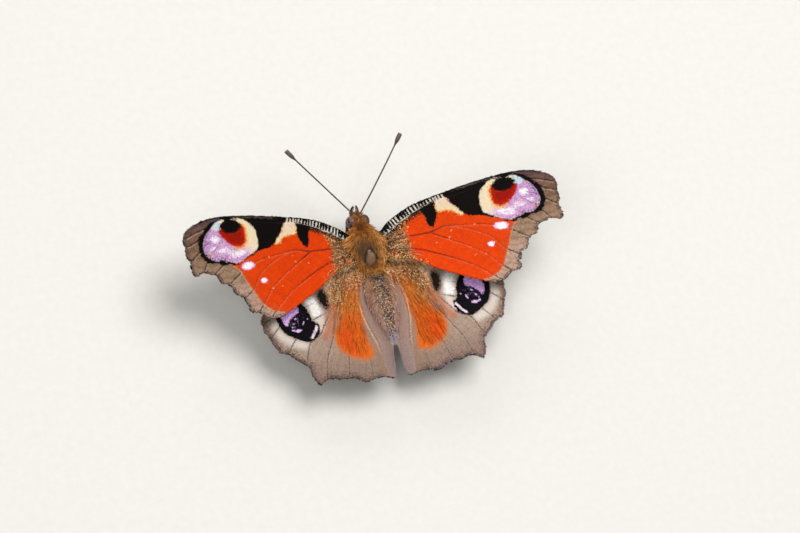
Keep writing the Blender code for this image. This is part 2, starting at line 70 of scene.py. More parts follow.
# Body: (y, middle x, middle z, half width, rise of the back, drop of the belly) of the skin
BODY_STATIONS = [
    (6.1, -0.18, 5.2, 0.12, 0.12, 0.12),
    (6.0, -0.18, 5.22, 0.45, 0.4, 0.45),
    (5.6, -0.18, 5.3, 0.82, 0.72, 0.8),
    (5.0, -0.17, 5.4, 1.0, 0.92, 0.98),
    (4.3, -0.14, 5.45, 1.08, 1.0, 1.02),
    (3.75, -0.1, 5.47, 1.08, 1.0, 1.0),
    (3.4, -0.06, 5.5, 1.2, 1.08, 1.1),
    (2.7, 0.0, 5.5, 1.72, 1.52, 1.55),
    (1.7, 0.0, 5.5, 2.25, 1.95, 1.95),
    (0.3, 0.0, 5.5, 2.45, 2.1, 2.15),
    (-1.2, 0.0, 5.5, 2.4, 2.05, 2.15),
    (-2.4, 0.0, 5.48, 2.05, 1.68, 1.95),
    (-3.2, 0.0, 5.42, 1.65, 1.3, 1.6),
    (-3.7, 0.0, 5.36, 1.55, 1.3, 1.45),
    (-4.8, 0.03, 5.32, 1.95, 1.75, 1.75),
    (-6.8, 0.08, 5.27, 2.15, 1.96, 1.96),
    (-8.6, 0.13, 5.22, 2.06, 1.88, 1.88),
    (-10.6, 0.18, 5.17, 1.72, 1.56, 1.56),
    (-12.6, 0.23, 5.11, 1.24, 1.12, 1.12),
    (-14.0, 0.27, 5.08, 0.78, 0.7, 0.7),
    (-14.7, 0.29, 5.06, 0.4, 0.36, 0.36),
    (-14.9, 0.3, 5.05, 0.08, 0.08, 0.08),
]
BODY_STEP = 0.12
BODY_SIDES = 72
WAIST = -3.6
ABDOMEN_SEGMENTS = 7
ABDOMEN_LENGTH = 11.4
SEGMENT_STEP = 0.1
BALD_PATCH = (-0.36, -1.95)
BALD_SPREAD = (0.9, 1.3)

# Head parts, as in the solids
HEAD_SHIFT = -0.18
EYE_CENTRE = (1.0, 4.8, 5.4)
EYE_RADII = (0.84, 0.95, 1.02)
EYE_BASE = 0.75
PALP_PATH = [(0.44, 5.7, 4.75), (0.44, 6.1, 4.9), (0.42, 6.5, 5.15), (0.34, 6.85, 5.55), (0.24, 7.02, 5.95)]
PALP_RADII = [0.2, 0.25, 0.26, 0.2, 0.08]
COIL_CENTRE = (0.0, 5.95, 3.25)
COIL_OUTER = 0.86
COIL_INNER = 0.2
COIL_TURNS = 2.25
COIL_TUBE = 0.13
COIL_START = math.radians(140)
ANTENNA_ROOT = (0.42, 5.3, 5.7)
ANTENNA_BASE = (0.56, 5.75, 6.15)
ANTENNA_TIP = (8.9, 16.35, 8.8)
ANTENNA_BOW = 0.2
SHAFT_RADIUS = 0.12
CLUB_RADIUS = 0.34
CLUB_LENGTH = 2.4
SHAFT_RING = 0.28

# Legs of the right side, with the radius at each point
SOLE_AXIS = 0.16
LEGS = {
    "foreleg": [(0.9, 1.9, 3.9), (0.95, 2.15, 3.3), (1.3, 2.9, 2.75), (1.4, 4.0, 2.6), (1.2, 5.3, 3.1), (1.1, 5.75, 3.5)],
    "midleg": [(0.9, 0.6, 3.9), (1.05, 0.75, 3.0), (1.5, 0.95, 2.3), (4.5, 2.2, 4.15), (6.9, 4.7, 0.5),
               (7.3, 5.2, SOLE_AXIS), (8.55, 6.85, SOLE_AXIS)],
    "hindleg": [(0.9, -1.4, 3.9), (1.05, -1.55, 3.0), (1.5, -1.8, 2.3), (4.4, -3.9, 4.15), (6.6, -7.4, 0.5),
                (6.95, -8.0, SOLE_AXIS), (8.0, -10.9, SOLE_AXIS)],
}
LEG_RADII = {
    "foreleg": [0.26, 0.26, 0.24, 0.22, 0.2, 0.1],
    "midleg": [0.34, 0.34, 0.32, 0.24, 0.17, 0.15, 0.12],
    "hindleg": [0.34, 0.34, 0.32, 0.24, 0.17, 0.15, 0.12],
}
TARSUS_JOINTS = 5
CLAW_LENGTH = 0.45

# Forewing outline and veins
FORE_ROOT = [(1.6, -2.3), (1.6, -1.0), (1.7, 0.2), (1.7, 1.2), (1.8, 1.9), (2.6, 2.3)]
FORE_LEADING = [(3.4, 3.05), (4.6, 3.68), (5.9, 4.2), (7.2, 4.56), (8.7, 4.8), (10.2, 4.96), (11.9, 5.13),
                (13.5, 5.3), (15.0, 5.44), (18.5, 5.66), (22.0, 5.68), (24.95, 5.25)]
FORE_MARGIN = [(26.58, 4.67), (27.59, 4.08), (28.23, 3.51), (28.5, 2.97), (28.61, 2.28), (28.42, 1.71), (28.55, 0.91),
               (28.5, 0.1), (28.2, -0.45), (28.27, -1.31), (28.32, -2.2), (28.07, -2.83), (27.81, -2.94),
               (27.37, -2.61), (26.62, -2.27), (26.2, -2.28), (25.8, -2.51), (25.2, -2.56), (24.63, -2.71),
               (24.47, -3.07), (24.26, -3.67), (24.1, -4.03), (23.49, -4.04), (23.0, -4.29), (22.61, -4.63),
               (22.39, -5.5), (22.07, -5.81), (21.54, -5.97), (21.2, -6.33), (20.99, -6.94), (20.73, -7.46),
               (20.72, -8.21), (20.4, -8.53), (19.66, -8.59), (19.13, -8.76), (18.42, -9.19), (17.84, -9.55)]
FORE_TRAILING = [(17.2, -9.62), (15.7, -9.2), (13.6, -8.15), (11.6, -7.0), (9.5, -5.75), (7.5, -4.45), (5.6, -3.2)]
# Each vein with its radius at the root and at the margin
FORE_VEINS = [
    ([(1.9, 1.4), (3.4, 1.7), (5.1, 2.62), (6.7, 3.15), (8.2, 3.6), (9.8, 4.0), (11.6, 4.25), (15.5, 4.55), (19.0, 4.8)], 0.15, 0.09),
    ([(19.0, 4.8), (22.5, 4.6), (25.7, 3.95), (28.3, 2.95)], 0.08, 0.09),
    ([(22.5, 4.6), (25.6, 3.2), (27.0, 2.3), (28.35, 1.67)], 0.06, 0.09),
    ([(14.0, 3.2), (20.5, 3.1), (24.7, 2.2), (26.55, 0.9), (28.15, -0.45)], 0.06, 0.1),
    ([(14.0, 3.2), (19.0, 2.8), (22.3, 2.2), (24.3, 1.0), (25.8, -0.8), (26.6, -2.1)], 0.06, 0.1),
    ([(13.4, 1.7), (18.5, 1.7), (20.0, 1.4), (22.6, -0.1), (23.6, -1.35), (24.9, -2.5)], 0.06, 0.1),
    ([(12.4, 0.35), (17.0, -0.6), (19.9, -1.7), (21.2, -2.75), (22.95, -4.1)], 0.06, 0.1),
    ([(1.9, 0.1), (5.6, 0.25), (9.2, 0.1), (12.1, 0.4), (15.2, -0.9), (17.8, -2.7), (19.5, -5.0), (21.1, -6.4)], 0.17, 0.1),
    ([(9.2, 0.1), (13.7, -2.8), (16.6, -5.1), (18.6, -7.6), (19.4, -8.5)], 0.1, 0.1),
    ([(1.9, -1.1), (5.7, -1.6), (9.1, -3.0), (13.1, -5.4), (15.3, -7.1), (17.6, -9.4)], 0.13, 0.09),
]

# Hindwing outline and veins
HIND_ROOT = [(1.6, -3.6), (1.9, -2.4), (2.3, -0.9)]
HIND_LEADING = [(5.5, -1.2), (9.0, -2.3), (12.5, -4.0), (16.2, -6.3)]
HIND_MARGIN = [(18.0, -7.7), (18.6, -8.75), (18.5, -9.6), (18.52, -10.4), (18.15, -11.1), (17.85, -12.0), (17.6, -12.8),
               (17.3, -13.55), (17.1, -14.05), (16.53, -14.2), (15.93, -14.49), (15.36, -14.93), (15.03, -15.41),
               (14.64, -15.88), (14.16, -16.19), (13.81, -16.53), (13.4, -16.86), (13.24, -17.64), (13.21, -18.45),
               (12.93, -19.21), (12.47, -19.9), (11.91, -19.62), (11.26, -19.22), (10.63, -19.16), (9.97, -19.24),
               (9.5, -19.47), (8.75, -19.47), (7.95, -19.55), (7.31, -19.6), (6.6, -19.86), (6.1, -20.2),
               (5.63, -20.45), (5.14, -20.42), (4.45, -20.22), (3.85, -20.12), (2.97, -20.1), (2.18, -20.25), (1.5, -20.4)]
HIND_INNER = [(1.02, -20.2), (0.8, -19.2), (0.78, -17.9), (0.8, -16.9)]
HIND_VEINS = [
    ([(2.6, -2.2), (4.6, -2.3), (9.0, -4.0), (13.6, -6.4), (18.3, -9.4)], 0.12, 0.08),
    ([(6.3, -6.0), (9.3, -6.8), (13.2, -8.4), (16.4, -10.3), (17.9, -11.8)], 0.07, 0.1),
    ([(8.0, -8.8), (12.2, -10.4), (14.3, -12.4), (15.1, -13.3), (15.85, -14.4)], 0.06, 0.1),
    ([(8.0, -8.8), (9.8, -11.2), (10.6, -12.4), (12.4, -13.5), (13.05, -14.8), (13.65, -16.5)], 0.07, 0.1),
    ([(2.2, -2.8), (4.4, -3.9), (6.3, -6.0), (8.0, -8.8)], 0.12, 0.07),
    ([(7.0, -7.3), (7.9, -10.8), (9.1, -13.6), (10.27, -15.84), (10.82, -17.58), (11.15, -19.1)], 0.07, 0.11),
    ([(5.2, -4.8), (6.0, -10.2), (7.4, -17.3), (7.87, -19.4)], 0.06, 0.1),
    ([(3.8, -5.2), (4.1, -10.5), (4.1, -16.0), (4.3, -20.1)], 0.06, 0.07),
]
CREASE = [(2.9, -4.6), (3.4, -7.3), (3.55, -9.4), (3.4, -11.4), (3.0, -13.4), (2.6, -15.2), (2.4, -18.0), (2.2, -20.2)]
ABDOMEN_CLEARANCE = -0.12
FOLD_WIDTH = 1.4
FOLD_DROP = 0.6
SHEET = 0.12
SCALE_BED = 0.05
SKIN_STEP = 0.42
FINE_SCALES = 0.7

# Markings of the forewing's upper side
RED_FIELD = [(1.5, 4.0), (11.0, 5.2), (17.0, 1.6), (18.6, 0.7), (20.2, -0.2), (21.9, -0.9), (21.6, -1.5),
             (20.9, -2.2), (20.6, -3.0), (20.3, -3.8), (19.9, -4.6), (19.3, -5.8), (18.8, -7.0),
             (18.0, -7.9), (17.0, -8.5), (15.7, -8.85), (14.2, -8.75), (12.0, -7.6), (5.0, -4.0), (1.5, -3.0)]
FORE_BASE = [(1.0, 4.0), (6.0, 4.3), (9.3, 4.0), (8.6, 3.4), (7.0, 3.1), (6.2, 2.0), (5.7, 1.1), (5.6, 0.0),
             (6.0, -1.0), (5.8, -2.2), (6.2, -3.4), (7.6, -4.8), (3.0, -5.0), (1.0, -3.0)]
BLACK_WEDGE = [(8.6, 3.75), (9.1, 2.6), (9.25, 1.6), (9.45, 1.05), (9.75, 0.75), (10.15, 1.05), (10.6, 1.8),
               (10.95, 2.9), (11.15, 4.3), (9.6, 4.2)]
CREAM_PATCH = [(11.0, 4.35), (12.3, 4.5), (12.9, 4.0), (13.4, 3.15), (14.2, 2.25), (14.6, 1.55), (13.9, 1.75),
               (13.2, 2.4), (12.0, 2.75), (11.1, 2.8), (10.95, 3.4)]
BLACK_BLOCK = [(12.3, 5.3), (12.85, 4.1), (13.4, 3.2), (14.2, 2.3), (14.7, 1.6), (15.3, 1.15), (16.2, 0.85),
               (17.3, 0.62), (18.6, 0.0), (19.8, -0.5), (20.8, -1.15), (22.0, -1.2), (22.0, 1.0), (20.5, 5.9), (15.0, 5.6)]
BLACK_RING = [(20.3, 5.6), (22.6, 5.5), (23.3, 5.2), (23.9, 5.05), (24.6, 4.65), (25.2, 4.15), (25.7, 3.6),
              (26.2, 3.1), (26.55, 2.4), (26.7, 1.5), (26.7, 0.7), (26.3, -0.35), (25.6, -0.95), (25.0, -1.0),
              (24.2, -1.05), (23.6, -1.35), (22.9, -1.3), (22.2, -1.1), (21.4, -1.3), (20.0, 2.0)]
EYE_FIELD = [(17.6, 0.95), (17.35, 1.6), (17.3, 2.5), (17.4, 3.6), (18.0, 4.45), (19.1, 5.2), (20.3, 5.45),
             (21.4, 5.1), (22.5, 5.2), (23.1, 4.95), (23.8, 4.5), (24.2, 4.05), (24.7, 3.7), (25.2, 3.2),
             (25.7, 2.3), (25.9, 1.6), (25.9, 0.7), (25.6, 0.1), (25.0, -0.4), (24.2, -0.65), (23.3, -0.4),
             (23.0, -0.75), (22.2, -0.8), (21.5, -1.0), (20.8, -0.9), (19.7, -0.3), (18.7, 0.25)]
CRIMSON_MOON = [(19.3, 4.1), (19.2, 2.7), (19.35, 2.0), (20.0, 1.45), (20.9, 1.5), (21.5, 1.65), (22.1, 2.1),
                (22.55, 2.6), (23.0, 3.3), (22.9, 3.9), (21.0, 4.3)]
PUPIL = ((21.15, 4.35), (1.6, 0.95), -0.05)
ICE = [(21.7, 4.85), (22.4, 5.25), (23.1, 5.0), (23.8, 4.5), (24.1, 4.0), (23.2, 3.75), (22.4, 4.2)]
PALE_SPOTS = [((19.6, -1.55), (1.15, 0.6), -0.22), ((17.6, -3.85), (0.56, 0.44), -0.22)]
WHITE_BLOBS = [((23.9, 2.5), (0.6, 0.45), 1.0), ((23.0, 0.9), (0.8, 0.35), 0.65), ((20.8, 0.3), (1.2, 0.45), 0.85),
               ((24.6, 1.2), (0.5, 0.3), 0.5), ((22.0, 0.6), (0.5, 0.3), 0.5)]
FLECKS = [(12.4, -0.4), (12.0, -1.35), (15.0, -4.9), (16.5, -5.1), (9.9, -1.7), (16.0, -0.35)]

# Markings of the hindwing's upper side
HIND_BASE = [(1.0, -0.5), (6.3, -0.5), (8.6, -4.2), (8.6, -5.6), (8.1, -8.0), (7.1, -9.0), (5.6, -10.5), (3.9, -10.5),
             (2.9, -7.5), (2.0, -4.0)]
ORANGE_PATCH = [(3.1, -7.0), (3.9, -11.7), (3.9, -14.0), (3.5, -16.1), (3.9, -16.9), (5.0, -17.05), (6.4, -16.55),
                (7.4, -15.9), (8.3, -14.3), (8.2, -12.5), (7.3, -11.4), (6.9, -10.4), (6.6, -9.0), (5.0, -6.0)]
HIND_EYE = [(13.05, -6.4), (12.1, -7.3), (11.53, -8.31), (11.34, -9.23), (11.2, -10.03), (10.42, -10.75), (10.53, -11.67),
            (10.96, -12.5), (11.83, -13.1), (12.85, -13.15), (14.04, -12.6), (15.0, -11.95), (15.75, -11.3),
            (16.3, -10.17), (16.52, -8.98), (16.52, -8.1), (15.6, -6.9)]
HIND_LILAC = [(12.9, -7.96), (13.1, -7.1), (14.15, -6.9), (15.1, -7.6), (15.66, -8.46), (15.66, -9.23), (15.42, -9.95),
              (15.05, -10.25), (14.79, -9.65), (14.24, -9.05), (13.57, -8.65), (13.02, -8.35)]
HIND_GLINTS = [((12.66, -10.17), (0.36, 0.1), -1.05), ((13.66, -11.25), (0.5, 0.24), -0.1), ((14.35, -11.1), (0.3, 0.14), 0.3),
               ((13.66, -9.3), (0.22, 0.1), -0.4), ((14.1, -10.1), (0.2, 0.1), -0.7), ((11.9, -9.6), (0.16, 0.07), -1.0),
               ((14.45, -10.6), (0.14, 0.08), 0.4)]
HIND_DASH = [(10.8, -11.0), (11.27, -11.82), (11.94, -12.63)]
WHITE_CORE = [(11.6, -5.0), (11.35, -5.94), (10.85, -6.8), (10.48, -7.69), (10.3, -8.7)]
WHITE_SOFT = [(10.3, -8.7), (10.15, -9.6), (9.95, -10.4), (10.1, -11.3)]
PALE_OUTER = [(17.2, -8.2), (17.0, -9.2), (16.95, -10.4), (16.5, -11.5), (15.8, -12.4), (14.6, -13.2), (13.4, -13.7)]
BLACK_SMUDGE = [(8.6, -5.5), (9.25, -5.9), (9.3, -7.04), (8.78, -8.1), (8.4, -8.3), (8.3, -7.29), (8.3, -6.33)]
ORANGE_STRAND = [(7.4, -8.4), (7.98, -9.27), (8.88, -10.67), (9.44, -11.9), (9.8, -12.7)]
SILVER_LINE = [(2.2, 1.0), (3.44, 1.62), (4.19, 1.95), (5.1, 2.5), (6.21, 3.02), (7.09, 3.35), (7.83, 3.62), (8.69, 3.85),
               (9.55, 4.05), (10.35, 4.24), (11.35, 4.36), (11.9, 4.42), (12.6, 4.5)]
BAR_STEP = 0.45
COSTAL_STRIP = [(2.0, 0.8), (6.0, 2.8), (10.0, 3.9), (12.9, 4.2), (12.9, 6.0), (2.0, 6.0)]


def linear(code):
    """An sRGB hex colour as linear red, green and blue."""
    parts = [int(code[i:i + 2], 16) / 255.0 for i in (1, 3, 5)]
    return tuple(p / 12.92 if p <= 0.04045 else ((p + 0.055) / 1.055) ** 2.4 for p in parts)


def colour_property(name, code, description):
    return FloatVectorProperty(name=name, description=description, default=linear(code), subtype="COLOR",
                               size=3, min=0.0, max=1.0)


class ButterflySizes(bpy.types.PropertyGroup):
    """Sizes of the coat that can be changed before the pieces are built."""
    scale_step: FloatProperty(name="Scale spacing", description="Distance between neighbouring wing scales",
                              default=0.102 * MM, min=0.08 * MM, max=0.5 * MM, subtype="DISTANCE", unit="LENGTH")
    scale_length: FloatProperty(name="Scale length", description="Length of a wing scale from its socket to its tip",
                                default=0.25 * MM, min=0.1 * MM, max=1.0 * MM, subtype="DISTANCE", unit="LENGTH")
    fur_step: FloatProperty(name="Fur spacing", description="Distance between the roots of the body hairs",
                            default=0.088 * MM, min=0.05 * MM, max=0.5 * MM, subtype="DISTANCE", unit="LENGTH")
    fur_length: FloatProperty(name="Fur length", description="Length of the hairs on the back of the thorax",
                              default=1.1 * MM, min=0.2 * MM, max=3.0 * MM, subtype="DISTANCE", unit="LENGTH")
    seed: IntProperty(name="Seed", description="Seed of every random draw in the coat", default=7, min=0)


class ButterflyColours(bpy.types.PropertyGroup):
    """Colours of the wings and the body."""
    flame: colour_property("Flame red", "#DF4106", "Red of the forewing")
    rust: colour_property("Rust", "#8A1E08", "Veins and shade on the red")
    cream: colour_property("Cream", "#EFDDBB", "Pale patches on the leading edge and the eyespot's inner side")
    soot: colour_property("Soot black", "#0E0A09", "Black markings")
    lilac: colour_property("Lilac", "#D6A8D2", "Light of the eyespots")
    crimson: colour_property("Crimson", "#9C1605", "Dark red moon in the forewing's eyespot")
    umber: colour_property("Umber", "#AD9483", "Grey brown ground of the hindwing and the margins")
    orange: colour_property("Orange", "#E06A1C", "Hairy orange field of the hindwing")
    gold: colour_property("Gold", "#CB9044", "Gold scales at the wing roots and gold hairs of the body")
    fur: colour_property("Fur brown", "#B8742E", "Golden brown fur of the thorax and the head")


# ---------------------------------------------------------------- small tools

def ramp(value, low, high):
    """Smooth step from 0 at low to 1 at high."""
    part = np.clip((value - low) / (high - low), 0.0, 1.0)
    return part * part * (3.0 - 2.0 * part)


def place(points):
    """Millimetres about the thorax to metres in the frame."""
    moved = np.array(points, float).reshape(-1, 3)
    return (moved + (0.0, FORWARD, 0.0)) * MM


def smooth_path(points, step, closed=False):
    """Points at equal distances along a smooth curve through the given ones."""
    nodes = np.array(points, float)
    if closed:
        nodes = np.vstack([nodes[-1], nodes, nodes[0], nodes[1]])
    else:
        nodes = np.vstack([2 * nodes[0] - nodes[1], nodes, 2 * nodes[-1] - nodes[-2]])
    dense = []
    for a, b, c, d in zip(nodes, nodes[1:], nodes[2:], nodes[3:]):
        for i in range(16):
            t = i / 16.0
            dense.append(0.5 * (2 * b + (c - a) * t + (2 * a - 5 * b + 4 * c - d) * t ** 2
                                + (3 * b - a - 3 * c + d) * t ** 3))
    dense.append(nodes[-2])
    dense = np.array(dense)
    reach = np.concatenate([[0.0], np.cumsum(np.linalg.norm(np.diff(dense, axis=0), axis=1))])
    count = max(1, round(reach[-1] / step))
    goals = np.linspace(0.0, reach[-1], count + 1)
    return np.column_stack([np.interp(goals, reach, dense[:, k]) for k in range(dense.shape[1])])


def path_distance(points, path):
    """Distance of each point to a path, and how far along it the nearest place is, from 0 to 1."""
    points = np.asarray(points, float)
    best = np.full(len(points), 1e9)
    along = np.zeros(len(points))
    lengths = np.linalg.norm(np.diff(path, axis=0), axis=1)
    reach = np.concatenate([[0.0], np.cumsum(lengths)])
    for i, (a, b) in enumerate(zip(path, path[1:])):
        span = b - a
        part = np.clip(((points - a) @ span) / max(span @ span, 1e-12), 0.0, 1.0)
        gap = np.linalg.norm(points - (a + part[:, None] * span), axis=1)
        closer = gap < best
        best[closer] = gap[closer]
        along[closer] = (reach[i] + part[closer] * lengths[i]) / reach[-1]
    return best, along


def inside(points, outline):
    """True for each point inside a closed outline."""
    points = np.asarray(points, float)
    result = np.zeros(len(points), bool)
    for a, b in zip(outline, np.roll(outline, -1, axis=0)):
        crosses = (a[1] > points[:, 1]) != (b[1] > points[:, 1])
        rise = b[1] - a[1] if b[1] != a[1] else 1e-12
        result ^= crosses & (points[:, 0] < a[0] + (points[:, 1] - a[1]) / rise * (b[0] - a[0]))
    return result


def depth_in(points, outline):
    """Distance to a closed outline, positive inside it. The corners of a traced list are rounded."""
    if isinstance(outline, list):
        outline = smooth_path(outline, 0.25, closed=True)[:-1]
    gap, _ = path_distance(points, np.vstack([outline, outline[:1]]))
    return np.where(inside(points, outline), gap, -gap)


def field(points, outline, soft=0.12):
    """Share of a marking at each point: 1 inside its outline, 0 outside, soft at the edge."""
    return ramp(depth_in(points, outline), -soft, soft)


def oval(points, centre, radii, turn=0.0):
    """Square of the distance from an oval's middle, 1 on its rim."""
    x = points[:, 0] - centre[0]
    y = points[:, 1] - centre[1]
    along = (x * math.cos(turn) + y * math.sin(turn)) / radii[0]
    across = (y * math.cos(turn) - x * math.sin(turn)) / radii[1]
    return along * along + across * across


def mottle(x, y, size):
    """Soft uneven patches from 0 to 1, about size across."""
    a = x * 6.283 / size
    b = y * 6.283 / size
    value = np.sin(a + 1.7 * np.sin(0.63 * b + 1.1)) + np.sin(b * 0.87 + 1.9 * np.sin(0.51 * a + 0.4))
    value += 0.6 * np.sin(1.9 * a + 2.3 * b) + 0.6 * np.sin(2.1 * b - 1.3 * a + 2.0)
    return np.clip(0.5 + value / 5.2, 0.0, 1.0)


class Coat:
    """Colours of many scales or hairs, laid on in layers. With dice a soft edge is a mixture of
    scales of both colours, and without it the colours blend."""

    def __init__(self, count, colour, dice=None):
        self.tint = np.tile(np.array(colour, float), (count, 1))
        self.dice = dice

    def lay(self, colour, share):
        share = np.clip(share, 0.0, 1.0)
        if self.dice is not None:
            share = (share > self.dice.random(len(share))).astype(float)
        self.tint += (np.array(colour) - self.tint) * share[:, None]

    def glaze(self, colour, share):
        """A colour that thins into what lies under it, without dice."""
        self.tint += (np.array(colour) - self.tint) * np.clip(share, 0.0, 1.0)[:, None]


def add_node(tree, kind, inputs=None, **settings):
    """Add a node, set its properties, and set or link its inputs."""
    node = tree.nodes.new(kind)
    for key, value in settings.items():
        setattr(node, key, value)
    for key, value in (inputs or {}).items():
        if isinstance(value, bpy.types.NodeSocket):
            tree.links.new(value, node.inputs[key])
        else:
            node.inputs[key].default_value = value
    return node


def piece(name, mesh, finish, replaced=(), smooth=True):
    """Link a finished mesh as a piece that rides on the body."""
    thing = bpy.data.objects.new(name, mesh)
    bpy.context.scene.collection.objects.link(thing)
    if finish is not None and not mesh.materials:
        mesh.materials.append(finish)
    if smooth:
        mesh.shade_smooth()
    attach(thing, BODY)
    if replaced:
        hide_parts(*replaced)
    return thing


def paint(mesh, tint):
    """Store one colour for each point of a mesh."""
    layer = mesh.attributes.new("tint", "FLOAT_COLOR", "POINT")
    layer.data.foreach_set("color", np.column_stack([tint, np.ones(len(tint))]).astype(np.float32).ravel())


def read_points(mesh):
    values = np.empty(len(mesh.vertices) * 3, np.float32)
    mesh.vertices.foreach_get("co", values)
    return values.reshape(-1, 3).astype(float)


def lathe_tube(path, radii, sides=10, flat=1.0):
    """Vertices and faces of a closed tube through points in millimetres."""
    path = np.array(path, float)
    ahead = np.gradient(path, axis=0)
    ahead /= np.linalg.norm(ahead, axis=1)[:, None]
    guide = np.array((0.0, 0.0, 1.0))
    vertices = []
    for centre, way, radius in zip(path, ahead, radii):
        side = np.cross(way, guide)
        if np.linalg.norm(side) < 0.1:
            side = np.cross(way, (0.0, 1.0, 0.0))
        side /= np.linalg.norm(side)
        lift = np.cross(side, way)
        for k in range(sides):
            turn = 2.0 * math.pi * k / sides
            vertices.append(centre + radius * (math.cos(turn) * side + flat * math.sin(turn) * lift))
    faces = []
    for i in range(len(path) - 1):
        for k in range(sides):
            following = (k + 1) % sides
            faces.append((i * sides + k, i * sides + following, (i + 1) * sides + following, (i + 1) * sides + k))
    first, last = len(vertices), len(vertices) + 1
    vertices.append(path[0])
    vertices.append(path[-1])
    end = (len(path) - 1) * sides
    for k in range(sides):
        following = (k + 1) % sides
        faces.append((first, following, k))
        faces.append((last, end + k, end + following))
    return np.array(vertices), faces


def mirror(points, sign):
    return np.array(points, float) * ((sign, 1.0) if np.array(points).shape[1] == 2 else (sign, 1.0, 1.0))


def settle(points, sign):
    """Take a right wing's points to their side. The left fold follows the abdomen, which swings."""
    points = np.array(points, float)
    moved = points * (sign, 1.0, 1.0)
    if sign < 0.0:
        x, y = points[:, 0], points[:, 1]
        strip = np.clip(1.0 - (x - inner_edge(y)) / (2.0 * FOLD_WIDTH), 0.0, 1.0)
        moved[:, 0] += 2.0 * body_row(y)[0] * strip * ramp(-y, 4.0, 6.0) * (1.0 - ramp(-y, 15.0, 20.0))
    return moved


def solid_mesh(name, shells):
    """One mesh from several shells of (vertices in millimetres, faces), all facing outwards."""
    shape = bmesh.new()
    for vertices, faces in shells:
        points = [shape.verts.new(p) for p in place(vertices)]
        for face in faces:
            shape.faces.new([points[i] for i in face])
    bmesh.ops.recalc_face_normals(shape, faces=shape.faces)
    mesh = bpy.data.meshes.new(name)
    shape.to_mesh(mesh)
    shape.free()
    return mesh


# ---------------------------------------------------------------- shapes of the wings

def fore_lift(x, y):
    """Height of the forewing's middle surface: raised outwards, leading edge up, slightly dished."""
    pitch = 0.04 + 0.15 * ramp(x, 3.0, 11.0)
    front = 5.8 - 0.011 * (x - 19.0) ** 2
    rear = np.where(x < 18.0, -2.2 - 0.48 * (x - 3.0), -9.4 + 0.7 * (x - 18.0))
    chord = (y - rear) / (front - rear) * 2.0 - 1.0
    dish = 0.55 * (chord * chord - 0.4) * ramp(x, 3.0, 12.0)
    return 6.75 + 0.24 * (x - 3.0) + pitch * y + dish


def body_row(y):
    """Middle x and z, half width, rise and drop of the body at each y."""
    rows = body_row.table
    return [np.interp(y, rows[:, 0], rows[:, k]) for k in range(1, 6)]


body_row.table = smooth_path(BODY_STATIONS, 0.05)[::-1]


def inner_edge(y):
    """Where the hindwing's inner edge runs beside the abdomen, or behind it."""
    middle, _, half, _, _ = body_row(y)
    beside = np.maximum(half + 0.15 + middle + ABDOMEN_CLEARANCE, HIND_INNER[-1][0])
    rows = np.array(sorted([(p[1], p[0]) for p in HIND_INNER]))
    behind = np.interp(y, rows[:, 0], rows[:, 1])
    return np.where(y > -14.9, beside, behind)


def hind_lift(x, y):
    """Height of the hindwing's middle surface: nearly level, its inner strip folded down."""
    root = 0.3 * (1.0 - ramp(x, 3.0, 7.0)) * ramp(y, -6.0, -3.0)
    strip = np.clip(1.0 - (x - inner_edge(y)) / FOLD_WIDTH, 0.0, 1.0) * ramp(-y, 4.0, 6.5)
    return 5.7 + 0.04 * (x - 3.0) - root - FOLD_DROP * strip ** 1.5


def fore_shape():
    """Outline of the forewing, its leading edge and its fringed margin."""
    leading = smooth_path([FORE_ROOT[-1], *FORE_LEADING, FORE_MARGIN[0]], 0.3)
    margin = smooth_path(FORE_MARGIN, 0.15)
    trailing = smooth_path([FORE_MARGIN[-1], *FORE_TRAILING, FORE_ROOT[0]], 0.4)
    root = smooth_path(FORE_ROOT, 0.4)
    outline = np.vstack([root[:-1], leading[:-1], margin[:-1], trailing[:-1]])
    return outline, leading, np.vstack([margin, trailing[1:-8]])


def hind_shape():
    """Outline of the hindwing, its leading edge and its fringed margin."""
    leading = smooth_path([HIND_ROOT[-1], *HIND_LEADING, HIND_MARGIN[0]], 0.4)
    margin = smooth_path(HIND_MARGIN, 0.15)
    inner = smooth_path([HIND_MARGIN[-1], *HIND_INNER], 0.3)
    heights = np.linspace(HIND_INNER[-1][1], HIND_ROOT[0][1], 36)[1:-1]
    beside = np.column_stack([inner_edge(heights), heights])
    root = smooth_path(HIND_ROOT, 0.4)
    outline = np.vstack([root[:-1], leading[:-1], margin[:-1], inner[:-1], beside])
    return outline, leading, np.vstack([margin, inner[1:], beside])


# ---------------------------------------------------------------- markings

def specks(coat, share, colours):
    """Scatter scales of several colours over part of the wing, as the wing roots have them."""
    for colour, part in colours:
        coat.lay(colour, share * part)


def vein_gaps(points, wing):
    """Distance of each point to the nearest vein, and to a line just behind the nearest vein, where a pale line of
    painted highlight is laid.
    """
    gap = np.full(len(points), 9.0)
    beside = np.full(len(points), 9.0)
    for path, _, _ in WINGS[wing]["vein_paths"]:
        gap = np.minimum(gap, path_distance(points, path)[0])
        beside = np.minimum(beside, path_distance(points, path - (0.04, 0.16))[0])
    return gap, beside


